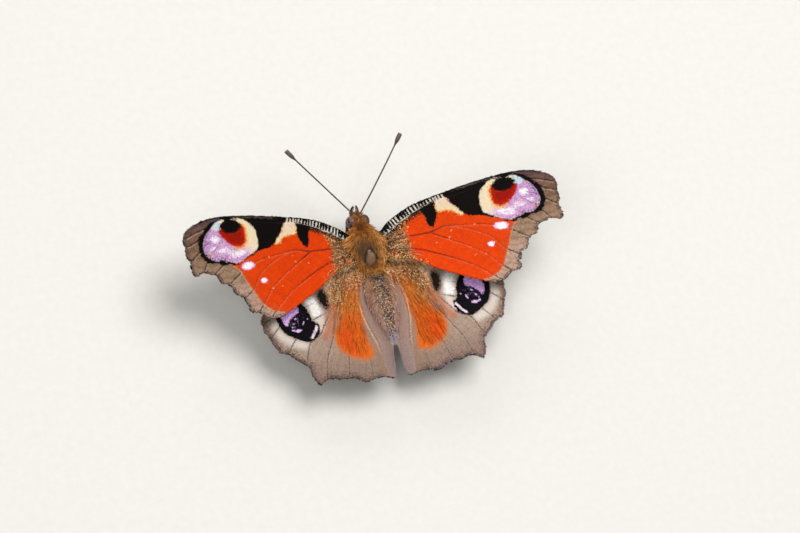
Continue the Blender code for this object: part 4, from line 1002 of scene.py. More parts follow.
def coat_tree():
    """Geometry Nodes: one scale or hair on each root point, turned along its lie, made real."""
    tree = bpy.data.node_groups.new("scales and hairs", "GeometryNodeTree")
    sockets = {}
    for name, kind in (("Geometry", "NodeSocketGeometry"), ("Shape", "NodeSocketObject"), ("Shortest", "NodeSocketFloat"),
                       ("Longest", "NodeSocketFloat"), ("Patch", "NodeSocketFloat"), ("Seed", "NodeSocketInt"),
                       ("Finish", "NodeSocketMaterial")):
        sockets[name] = tree.interface.new_socket(name=name, in_out="INPUT", socket_type=kind).identifier
    tree.interface.new_socket(name="Geometry", in_out="OUTPUT", socket_type="NodeSocketGeometry")
    given = add_node(tree, "NodeGroupInput")
    along = add_node(tree, "GeometryNodeInputNamedAttribute", {"Name": "along"}, data_type="FLOAT_VECTOR")
    upward = add_node(tree, "GeometryNodeInputNamedAttribute", {"Name": "upward"}, data_type="FLOAT_VECTOR")
    size = add_node(tree, "GeometryNodeInputNamedAttribute", {"Name": "size"}, data_type="FLOAT_VECTOR")
    turn = add_node(tree, "FunctionNodeAxesToRotation", {0: along.outputs[0], 1: upward.outputs[0]},
                    primary_axis="Z", secondary_axis="X")
    chance = add_node(tree, "FunctionNodeRandomValue", {"Seed": given.outputs["Seed"]}, data_type="FLOAT")
    tree.links.new(given.outputs["Shortest"], chance.inputs[2])
    tree.links.new(given.outputs["Longest"], chance.inputs[3])
    grown = add_node(tree, "ShaderNodeVectorMath", {0: size.outputs[0]}, operation="SCALE")
    tree.links.new(chance.outputs[1], grown.inputs["Scale"])
    shape = add_node(tree, "GeometryNodeObjectInfo", {"Object": given.outputs["Shape"]})
    spread = add_node(tree, "GeometryNodeInstanceOnPoints", {
        "Points": given.outputs["Geometry"], "Instance": shape.outputs["Geometry"],
        "Rotation": turn.outputs[0], "Scale": grown.outputs[0]})
    real = add_node(tree, "GeometryNodeRealizeInstances", {"Geometry": spread.outputs[0]})
    spot = add_node(tree, "GeometryNodeInputNamedAttribute", {"Name": "spot"}, data_type="FLOAT_VECTOR")
    patch = add_node(tree, "GeometryNodeInputNamedAttribute", {"Name": "patch"}, data_type="FLOAT_VECTOR")
    small = add_node(tree, "ShaderNodeVectorMath", {0: patch.outputs[0]}, operation="SCALE")
    tree.links.new(given.outputs["Patch"], small.inputs["Scale"])
    unwrapped = add_node(tree, "ShaderNodeVectorMath", {0: spot.outputs[0], 1: small.outputs[0]}, operation="ADD")
    stored = add_node(tree, "GeometryNodeStoreNamedAttribute", {"Geometry": real.outputs[0], "Name": "OFBake"},
                      data_type="FLOAT2", domain="CORNER")
    tree.links.new(unwrapped.outputs[0], stored.inputs["Value"])
    dressed = add_node(tree, "GeometryNodeSetMaterial", {"Geometry": stored.outputs[0], "Material": given.outputs["Finish"]})
    add_node(tree, "NodeGroupOutput", {0: dressed.outputs[0]})
    return tree, sockets


class Roots:
    """Roots of scales or hairs, gathered for one piece."""

    def __init__(self):
        self.rows = {"point": [], "along": [], "upward": [], "size": [], "tint": [], "spot": []}

    def add(self, point, along, upward, length, width, tint, spot):
        """All in millimetres about the thorax; spot is the root's place on the unwrap."""
        count = len(point)
        length = np.broadcast_to(length, count)
        width = np.broadcast_to(width, count)
        flat = np.column_stack([spot, np.zeros(count)])
        for key, value in zip(self.rows, (point, along, upward, np.column_stack([length, width, length]), tint, flat)):
            self.rows[key].append(np.asarray(value, float))

    def grow(self, name, shape, finish, sizes, vary=(0.85, 1.15), replaced=()):
        """Turn the roots into a piece of scales or hairs."""
        rows = {key: np.vstack(value) for key, value in self.rows.items()}
        mesh = bpy.data.meshes.new(name + " roots")
        mesh.vertices.add(len(rows["point"]))
        mesh.vertices.foreach_set("co", place(rows["point"]).astype(np.float32).ravel())
        for key in ("along", "upward", "size", "spot"):
            values = rows[key] * MM if key == "size" else rows[key]
            layer = mesh.attributes.new(key, "FLOAT_VECTOR", "POINT")
            layer.data.foreach_set("vector", values.astype(np.float32).ravel())
        paint(mesh, rows["tint"])
        base = bpy.data.objects.new(name + " roots", mesh)
        bpy.context.scene.collection.objects.link(base)
        tree, sockets = coat_tree()
        grower = base.modifiers.new("coat", "NODES")
        grower.node_group = tree
        for key, value in (("Shape", shape), ("Shortest", vary[0]), ("Longest", vary[1]), ("Patch", TUFT_PATCH),
                           ("Seed", sizes.seed), ("Finish", finish)):
            grower[sockets[key]] = value
        bpy.context.view_layer.update()
        ready = base.evaluated_get(bpy.context.evaluated_depsgraph_get())
        grown = bpy.data.meshes.new_from_object(ready)
        grown.name = name
        base.modifiers.clear()
        bpy.data.objects.remove(base, do_unlink=True)
        bpy.data.node_groups.remove(tree)
        for extra in ("along", "upward", "size", "spot"):
            if extra in grown.attributes:
                grown.attributes.remove(grown.attributes[extra])
        if not grown.polygons:
            raise RuntimeError(name + " has no scales or hairs")
        return piece(name, grown, finish, replaced, smooth=False)


def unit(vectors):
    return vectors / np.maximum(np.linalg.norm(vectors, axis=1), 1e-9)[:, None]


def surface(lift, points):
    """Height and upward normal of a wing's middle surface."""
    x, y = points[:, 0], points[:, 1]
    step = 0.02
    height = lift(x, y)
    slope_x = (lift(x + step, y) - height) / step
    slope_y = (lift(x, y + step) - height) / step
    return height, unit(np.column_stack([-slope_x, -slope_y, np.ones(len(x))]))


def rows_of_roots(outline, focus, spacing, dice):
    """Roots in rows across the wing, each row at one distance from the wing's root."""
    outline = np.array(outline)
    away = outline - focus
    reach = np.linalg.norm(away, axis=1)
    angles = np.arctan2(away[:, 1], away[:, 0])
    low, high = angles.min(), angles.max()
    result = []
    for i, radius in enumerate(np.arange(max(0.5, reach.min() - 1.0), reach.max(), spacing)):
        count = max(1, int((high - low) * radius / spacing))
        turn = low + (high - low) * (np.arange(count) + 0.5 * (i % 2)) / count
        result.append(np.column_stack([focus[0] + radius * np.cos(turn), focus[1] + radius * np.sin(turn)]))
    points = np.vstack(result)
    points += dice.normal(0.0, 0.16 * spacing, points.shape)
    return points[depth_in(points, outline) > 0.02]


def unwrap_wing(points, side):
    """Place on the wing's own unwrap: the upper side in the upper half, the underside below it."""
    low, high = np.array((0.0, -21.0)), np.array((30.0, 7.0))
    part = (points - low) / (high - low)
    return np.column_stack([0.01 + 0.97 * part[:, 0], 0.01 + 0.48 * part[:, 1] + (0.5 if side > 0 else 0.0)])


# ---------------------------------------------------------------- operators

def finishes():
    """The materials, made once and found by name afterwards."""
    made = {
        "scales": ("chitin wing scales", scale_finish),
        "sheet": ("chitin wing membrane", sheet_finish),
        "hair": ("golden brown hair", hair_finish),
        "skin": ("leathery body chitin", skin_finish),
        "feeler": ("ringed feeler horn", feeler_finish),
        "eye": ("faceted compound eye", eye_finish),
        "horn": ("dark leg horn", lambda: horn_finish("dark leg horn", "#1C110C", "#4A3020")),
        "tongue": ("amber proboscis horn", lambda: horn_finish("amber proboscis horn", "#2A1408", "#7A4A1C", 0.3)),
    }
    return {key: bpy.data.materials.get(name) or make() for key, (name, make) in made.items()}


def skin_tint(points, hues, dice=None):
    """Colours of the body. points are (x, y, z) in millimetres about the thorax."""
    x, y, z = points.T
    middle, axis, half, rise, drop = body_row(y)
    above = np.clip((z - axis) / np.maximum(rise, 0.1), -1.0, 1.0)
    across = (x - middle) / np.maximum(half, 0.1)
    coat = Coat(len(points), hues.fur, dice)
    # Thorax: golden edges, browner middle, painted light on its right side, a worn patch like a drop with a dark rim
    # and painted highlights on it
    coat.lay(linear("#C98340"), 0.55 * ramp(np.abs(across), 0.45, 0.85) * ramp(above, -0.3, 0.2))
    # Lighter on the right side: painted light
    coat.lay(linear("#E0A766"), 0.35 * ramp(across, 0.25, 0.8) * ramp(above, -0.3, 0.2))
    coat.lay(linear("#7E4C20"), 0.35 * mottle(x, y, 0.8))
    coat.lay(linear("#B56E28"), 0.35 * ramp(y, 1.0, 2.6))
    worn = worn_reach(points)
    top = ramp(above, 0.6, 0.85)
    coat.lay(linear("#6A5030"), 0.6 * (1.0 - ramp(oval(points, (-0.8, -1.2), (1.9, 2.3)), 0.3, 1.1)) * top)
    coat.lay(linear("#3A2A1A"), 0.95 * (1.0 - ramp(worn, 0.95, 1.3)) * ramp(worn, 0.5, 0.7) * top)
    coat.lay(linear("#7E5230"), 0.97 * (1.0 - ramp(worn, 0.45, 0.7)) * top)
    coat.lay(linear("#5A4028"), 0.6 * (1.0 - ramp(worn, 0.45, 0.7)) * top * ramp(x, -0.2, -0.9))
    # Painted highlights: a pale line along the patch's rim and a glint at its front
    painted_rim_highlight = (1.0 - ramp(np.abs(worn - 0.62), 0.06, 0.2)) * top * ramp(y, -2.3, -1.2)
    coat.glaze(linear("#C9BEB2"), 0.7 * painted_rim_highlight)
    coat.glaze(linear("#F0E8DE"), 0.9 * (1.0 - ramp(oval(points, (-0.35, -0.95), (0.3, 0.12), -0.6), 0.4, 1.4)) * top)
    # Head: warm brown, darker and purplish in front
    head = ramp(y, 3.4, 3.9)
    coat.lay(linear("#A0622C"), 0.7 * head)
    coat.lay(linear("#6A4236"), 0.75 * head * ramp(y, 4.7, 5.4))
    coat.lay(linear("#B47A40"), 0.25 * head)
    coat.lay(linear("#C9A796"), 0.14 * head * ramp(y, 4.3, 5.0))
    # Abdomen: blue grey back with gold specks, pinkish brown sides, dark belly
    rear = ramp(-y, 3.4, 4.0)
    coat.lay(linear("#B4845C"), rear)
    coat.lay(linear("#C09C92"), 0.75 * rear * ramp(-y, 6.0, 10.0))
    coat.lay(linear("#C0824A"), 0.3 * rear * (1.0 - ramp(-y, 7.0, 11.0)))
    # Painted shade in the waist between thorax and abdomen
    coat.lay(linear("#4A2A14"), 0.8 * ramp(-y, 3.2, 3.5) * (1.0 - ramp(-y, 4.6, 5.0)))
    coat.lay(linear("#B4762E"), 0.45 * ramp(-y, 3.4, 3.7) * (1.0 - ramp(-y, 4.5, 4.9)) * ramp(above, 0.0, 0.5))
    back = ramp(-y, 4.5, 5.0) * (1.0 - ramp(np.abs(across + 0.04), 0.4, 0.72)) * ramp(above, 0.3, 0.6)
    coat.lay(linear("#4A454C"), 0.85 * back)
    coat.lay(linear("#2C2C3A"), 0.6 * back * (1.0 - ramp(np.abs(across + 0.04), 0.2, 0.5)))
    coat.lay(linear("#B0804C"), 0.34 * back * ramp(-y, 4.4, 6.4))
    coat.lay(linear("#D2B69C"), 0.16 * back * ramp(-y, 4.0, 9.0))
    coat.lay(linear("#94868E"), 0.5 * rear * ramp(-y, 12.0, 14.0))
    coat.lay(linear("#3A2C22"), 0.7 * (1.0 - ramp(above, -0.7, -0.2)))
    return coat.tint


def worn_reach(points):
    """Square of the distance from the middle of the worn patch, 1 on its rim, narrower in front."""
    y = (points[:, 1] - BALD_PATCH[1]) / BALD_SPREAD[1]
    x = (points[:, 0] - BALD_PATCH[0]) / (BALD_SPREAD[0] * (1.0 - 0.35 * np.clip(y, 0.0, 1.0)))
    return x * x + y * y


def body_surface(y, turn):
    """Points, outward normals and rearward directions of the body skin."""
    def at(y, turn):
        middle, axis, half, rise, drop = body_row(y)
        height = np.sin(turn)
        lift = np.where(height > 0.0, rise, drop)
        along = np.clip((WAIST - y) / ABDOMEN_LENGTH, 0.0, 1.0) * ABDOMEN_SEGMENTS
        ledge = SEGMENT_STEP * ((along % 1.0) ** 0.7 - 0.6) * ramp(along, 0.0, 0.4) * (1.0 - ramp(along, 6.6, 7.0))
        bulge = 0.2 * np.exp(-((y + 1.9) / 0.8) ** 2 - (half * np.cos(turn) / 1.0) ** 2) * ramp(height, 0.2, 0.6)
        return np.column_stack([middle + (half + ledge) * np.cos(turn), y, axis + (lift + ledge + bulge) * height])
    step = 0.02
    here = at(y, turn)
    back = at(y - step, turn) - here
    round_ = at(y, turn + step) - here
    return here, unit(np.cross(round_, back)), unit(back)


class BUTTERFLY_OT_body(bpy.types.Operator):
    """Build the skin of head, thorax and abdomen"""
    bl_idname = "butterfly.body"
    bl_label = "Body skin"

    def execute(self, context):
        hues = context.scene.butterfly_colours
        front, rear = BODY_STATIONS[0][0], BODY_STATIONS[-1][0]
        count = round((front - rear) / BODY_STEP)
        heights = np.linspace(front, rear, count + 1)
        turns = 2.0 * math.pi * np.arange(BODY_SIDES) / BODY_SIDES
        grid_y, grid_turn = np.meshgrid(heights, turns, indexing="ij")
        points, _, _ = body_surface(grid_y.ravel(), grid_turn.ravel())
        faces = []
        for i in range(count):
            for k in range(BODY_SIDES):
                following = (k + 1) % BODY_SIDES
                faces.append((i * BODY_SIDES + k, i * BODY_SIDES + following,
                              (i + 1) * BODY_SIDES + following, (i + 1) * BODY_SIDES + k))
        faces.append(tuple(range(BODY_SIDES)))
        faces.append(tuple(range(count * BODY_SIDES, (count + 1) * BODY_SIDES)))
        mesh = solid_mesh("body_skin", [(points, faces)])
        paint(mesh, skin_tint(read_points(mesh) / MM - (0.0, FORWARD, 0.0), hues))
        piece("body_skin", mesh, finishes()["skin"], ("head", "thorax", "abdomen"))
        return {"FINISHED"}


class BUTTERFLY_OT_wings(bpy.types.Operator):
    """Build the membranes of the four wings with their veins"""
    bl_idname = "butterfly.wings"
    bl_label = "Wing membranes and veins"

    def execute(self, context):
        hues = context.scene.butterfly_colours
        for kind, wing in WINGS.items():
            flat, faces = self.triangles(wing["shape"][0])
            for side, sign in SIDES.items():
                name = kind + "_" + side
                self.membrane(name, sign, flat, faces, wing, hues)
                self.veins(name, sign, wing, hues)
        return {"FINISHED"}

    @staticmethod
    def triangles(outline):
        """The outline filled with nearly even triangles."""
        low = outline.min(axis=0)
        high = outline.max(axis=0)
        spots = []
        for row, y in enumerate(np.arange(low[1], high[1], SKIN_STEP * 0.87)):
            for x in np.arange(low[0] + 0.5 * SKIN_STEP * (row % 2), high[0], SKIN_STEP):
                spots.append((x, y))
        spots = np.array(spots)
        spots = spots[depth_in(spots, outline) > 0.5 * SKIN_STEP]
        points = [Vector(p) for p in np.vstack([outline, spots])]
        flat, _, faces, _, _, _ = delaunay_2d_cdt(points, [], [list(range(len(outline)))], 1, 0.001)
        return np.array([tuple(p) for p in flat]), faces

    @staticmethod
    def membrane(name, sign, flat, faces, wing, hues):
        """A sheet of even thickness with both faces painted."""
        count = len(flat)
        height, normal = surface(wing["lift"], flat)
        rim = depth_in(flat, wing["shape"][0])
        half = 0.5 * SHEET * (0.35 + 0.65 * ramp(rim, 0.0, 0.4))
        middle = np.column_stack([flat, height])
        upper = middle + normal * half[:, None]
        lower = middle - normal * half[:, None]
        vertices = settle(np.vstack([upper, lower]), sign)
        walls = []
        seen = {}
        for face in faces:
            for a, b in zip(face, face[1:] + face[:1]):
                seen[(a, b)] = seen.get((a, b), 0) + 1
        for a, b in seen:
            if (b, a) not in seen:
                walls.append((a, b, b + count, a + count))
        both = [tuple(f) for f in faces] + [tuple(i + count for i in reversed(f)) for f in faces] + walls
        mesh = solid_mesh("membrane_" + name, [(vertices, both)])
        tint = np.vstack([wing["upper"](flat, hues), wing_under(flat, hues)])
        paint(mesh, tint)
        piece("membrane_" + name, mesh, finishes()["sheet"], (name,))

    @staticmethod
    def veins(name, sign, wing, hues):
        """Raised veins, a tapered tube along each path."""
        shells = []
        tints = []
        for path, start, end in wing["vein_paths"]:
            height, _ = surface(wing["lift"], path)
            radii = np.linspace(start, end, len(path))
            line = np.column_stack([path, height])
            vertices, faces = lathe_tube(line, radii, 8)
            shells.append((settle(vertices, sign), faces))
            flat = vertices[:, :2]
            tint = wing["upper"](np.vstack([np.repeat(path, 8, axis=0), path[:1], path[-1:]]), hues)
            below = vertices[:, 2] < np.interp(np.arange(len(vertices)), np.arange(len(path)) * 8, height) - 0.02
            tints.append(np.where(below[:, None], wing_under(flat, hues), tint))
        mesh = solid_mesh("veins_" + name, shells)
        paint(mesh, np.vstack(tints))
        piece("veins_" + name, mesh, finishes()["sheet"])


class BUTTERFLY_OT_wing_coat(bpy.types.Operator):
    """Cover the wings with scales, fringe them and add the long hairs of their roots"""
    bl_idname = "butterfly.wing_coat"
    bl_label = "Wing scales, fringes and hairs"

    def execute(self, context):
        hues = context.scene.butterfly_colours
        sizes = context.scene.butterfly_sizes
        scale = scale_shape()
        hair = hair_shape("wing hair shape", 0.08, 2)
        for number, (kind, wing) in enumerate(WINGS.items()):
            for side, sign in SIDES.items():
                dice = np.random.default_rng([sizes.seed, number, int(sign + 1.0)])
                name = kind + "_" + side
                roots = Roots()
                self.upper(roots, sign, wing, hues, sizes, dice)
                roots.grow("upper_scales_" + name, scale, finishes()["scales"], sizes)
                roots = Roots()
                self.under(roots, sign, wing, hues, sizes, dice)
                self.fringe(roots, sign, wing, hues, dice)
                roots.grow("under_scales_" + name, scale, finishes()["scales"], sizes)
                hairs = Roots()
                self.hairs(hairs, kind, sign, wing, hues, dice)
                hairs.grow("hairs_" + name, hair, finishes()["hair"], sizes, (0.6, 1.2))
        for shape in (scale, hair):
            bpy.data.objects.remove(shape, do_unlink=True)
        return {"FINISHED"}

    @staticmethod
    def lay_scales(roots, sign, wing, flat, side, tint, length, width, dice):
        """Lay scales on one side of a wing, their free ends towards the margin."""
        height, normal = surface(wing["lift"], flat)
        away = unit(flat - wing["focus"])
        away = np.column_stack([away, np.zeros(len(away))])
        away = unit(away - normal * np.sum(away * normal, axis=1)[:, None])
        outward = normal * side
        across = np.cross(outward, away)
        yaw = dice.normal(0.0, 0.14, len(flat))[:, None]
        tilt = dice.uniform(0.1, 0.26, len(flat))[:, None]
        along = unit(away * np.cos(yaw) + across * np.sin(yaw) + outward * tilt)
        point = np.column_stack([flat, height]) + outward * SCALE_BED
        spot = unwrap_wing(flat, side)
        light = dice.normal(1.0, 0.07, len(flat))[:, None]
        flip = np.array((sign, 1.0, 1.0))
        roots.add(settle(point, sign), along * flip, outward * flip, length, width, np.clip(tint * light, 0.0, 1.0), spot)

    def upper(self, roots, sign, wing, hues, sizes, dice):
        spacing = sizes.scale_step / MM
        small = FINE_SCALES
        flat = rows_of_roots(wing["shape"][0], wing["focus"], spacing, dice)
        dense = rows_of_roots(wing["shape"][0], wing["focus"], small * spacing, dice)
        flat = flat[~self.within(flat, wing["fine"])]
        dense = dense[self.within(dense, wing["fine"])]
        factor = np.concatenate([np.ones(len(flat)), np.full(len(dense), small)])
        flat = np.vstack([flat, dense])
        away = unit(flat - wing["focus"])
        length = sizes.scale_length / MM * factor
        moved = flat + away * 0.75 * length[:, None] + dice.normal(0.0, 0.03, flat.shape) * factor[:, None]
        tint = wing["upper"](moved, hues, dice)
        width = 1.9 * spacing * dice.uniform(0.85, 1.15, len(flat)) * factor
        self.lay_scales(roots, sign, wing, flat, 1.0, tint, length, width, dice)

    @staticmethod
    def within(points, outlines):
        """True for points in any of several traced outlines."""
        found = np.zeros(len(points), bool)
        for outline in outlines:
            found |= inside(points, smooth_path(outline, 0.5, closed=True)[:-1])
        return found

    def under(self, roots, sign, wing, hues, sizes, dice):
        spacing = 1.6 * sizes.scale_step / MM
        flat = rows_of_roots(wing["shape"][0], wing["focus"], spacing, dice)
        tint = wing_under(flat, hues, dice)
        self.lay_scales(roots, sign, wing, flat, -1.0, tint, 1.6 * sizes.scale_length / MM, 1.8 * spacing, dice)

    @staticmethod
    def fringe(roots, sign, wing, hues, dice):
        """A fringe of narrow scales along the margin, darker at the veins."""
        margin = wing["shape"][2]
        path = smooth_path(margin, 0.055)
        ahead = np.gradient(path, axis=0)
        outward = unit(np.column_stack([-ahead[:, 1], ahead[:, 0]]))
        for layer, lift in ((0, 0.03), (1, -0.02)):
            flat = path - outward * (0.12 + 0.05 * layer) + dice.normal(0.0, 0.02, path.shape)
            height, normal = surface(wing["lift"], flat)
            way = np.column_stack([outward, dice.normal(0.0, 0.12, len(flat))]) + dice.normal(0.0, 0.1, (len(flat), 3))
            ground = wing["upper"](path - outward * 0.6, hues)
            gap = np.full(len(path), 9.0)
            for vein, _, _ in wing["vein_paths"]:
                gap = np.minimum(gap, np.linalg.norm(path - vein[-1], axis=1))
            dark = (1.0 - ramp(gap, 0.2, 0.5))[:, None]
            tint = ground * 0.75 * (1.0 - dark) + np.array(linear("#3A2A26")) * dark
            inner = ramp(path[:, 1], -17.0, -14.0) * (1.0 - ramp(path[:, 0], 3.0, 3.6)) * (wing["lift"] is hind_lift)
            gold = ramp(path[:, 1], -9.0, -5.0)[:, None]
            pale = np.array(linear("#C9AC94")) * (1.0 - gold) + np.array(linear("#D08A3A")) * gold
            tint += (pale - tint) * inner[:, None]
            tint *= dice.normal(1.0, 0.15, len(path))[:, None]
            length = dice.uniform(0.18, 0.3, len(path)) + 0.25 * inner
            flip = np.array((sign, 1.0, 1.0))
            point = np.column_stack([flat, height + lift])
            roots.add(settle(point, sign), unit(way) * flip, normal * flip, length, 0.1, np.clip(tint, 0.0, 1.0),
                      unwrap_wing(flat, 1.0))

    @staticmethod
    def hairs(roots, kind, sign, wing, hues, dice):
        """Long soft hairs over the wing root, and down the inner part of the hindwing."""
        if kind == "forewing":
            region = [(1.5, -2.4), (1.6, 2.2), (3.0, 1.4), (4.6, 1.9), (5.8, 1.2), (6.0, 0.0), (6.2, -1.6), (8.4, -4.2),
                      (8.2, -5.6), (4.0, -3.4)]
            spacing, long, raise_ = 0.15, 1.1, 0.16
        else:
            region = [(1.7, -3.4), (2.6, -1.6), (5.6, -2.2), (7.6, -6.0), (8.1, -9.0), (8.9, -10.8), (9.2, -11.9),
                      (8.5, -12.3), (8.4, -14.2), (7.3, -15.7), (5.2, -16.3), (3.9, -16.3), (3.4, -13.0), (3.2, -9.0),
                      (2.4, -6.0)]
            spacing, long, raise_ = 0.14, 1.4, 0.12
        flat = rows_of_roots(wing["shape"][0], wing["focus"], spacing, dice)
        depth = depth_in(flat, region)
        flat = flat[dice.random(len(flat)) < ramp(depth, -0.1, 0.7)]
        depth = depth_in(flat, region)
        height, normal = surface(wing["lift"], flat)
        x, y = flat.T
        away = unit(flat - ((0.5, 0.3) if kind == "forewing" else (2.0, 0.5)))
        way = np.column_stack([away, np.zeros(len(flat))]) + dice.normal(0.0, 0.14, (len(flat), 3))
        way = unit(way - normal * np.sum(way * normal, axis=1)[:, None])
        way = unit(way + normal * dice.uniform(0.3, 1.4, len(flat))[:, None] * raise_)
        length = long * dice.uniform(0.5, 1.2, len(flat)) * (0.5 + 0.5 * ramp(depth, 0.0, 0.8))
        count = len(flat)
        if kind == "forewing":
            # The hairs of the trailing edge hang over the root of the hindwing
            edge = 1.0 - ramp(np.abs(y + 0.66 * x - 0.45), 0.3, 1.1)
            way = unit(way + edge[:, None] * (0.1, -0.9, -0.35))
            length *= 1.0 + 0.15 * edge
            near = 1.0 - ramp(x, 2.2, 3.2)
            coat = Coat(count, linear("#B07C50"), dice)
            coat.lay(hues.gold, np.full(count, 0.24))
            coat.lay(linear("#1E130E"), np.full(count, 0.2))
            coat.lay(linear("#F2D8B8"), np.full(count, 0.34))
            # The trailing-edge hairs are lighter: partly their own paler colour, partly painted light against the
            # shadow of the forewing
            coat.lay(linear("#D09A60"), 0.45 * edge)
            coat.lay(linear("#C08440"), 0.6 * near)
            coat.tint *= 1.0 + 0.7 * edge[:, None]
        else:
            coat = Coat(count, linear("#BC7A3C"), dice)
            inner = 1.0 - ramp(x + 0.22 * (y + 7.0), 4.2, 5.8)
            coat.lay(linear("#E0A050"), 0.25 + 0.2 * inner)
            coat.lay(linear("#5E3A24"), 0.24 * (1.0 - inner) * (1.0 - ramp(-y, 8.0, 11.0)))
            coat.lay(linear("#E07A20"), 0.85 * inner * ramp(-y, 2.6, 4.5))
            coat.lay(linear("#E87220"), ramp(-y, 7.5, 11.0) * 0.85)
            coat.lay(linear("#F25A16"), 0.6 * ramp(-y, 11.0, 13.0) * ramp(x, 4.8, 6.6))
            coat.lay(linear("#F09A58"), 0.14 * ramp(-y, 8.0, 11.0))
            coat.lay(linear("#8C3E14"), 0.12 * ramp(-y, 8.0, 11.0))
            coat.lay(linear("#B28468"), 0.25 * ramp(-y, 8.0, 11.0) * (1.0 - ramp(depth, 0.2, 1.2)))
            coat.lay(linear("#BC8464"), 0.55 * ramp(x - 0.55 * (-y - 9.0), 7.6, 8.3))
        flip = np.array((sign, 1.0, 1.0))
        point = np.column_stack([flat, height]) + normal * SCALE_BED
        tint = np.clip(coat.tint * dice.normal(1.0, 0.2, len(flat))[:, None], 0.0, 1.0)
        roots.add(settle(point, sign), way * flip, normal * flip, length, 0.08, tint, unwrap_wing(flat, 1.0))


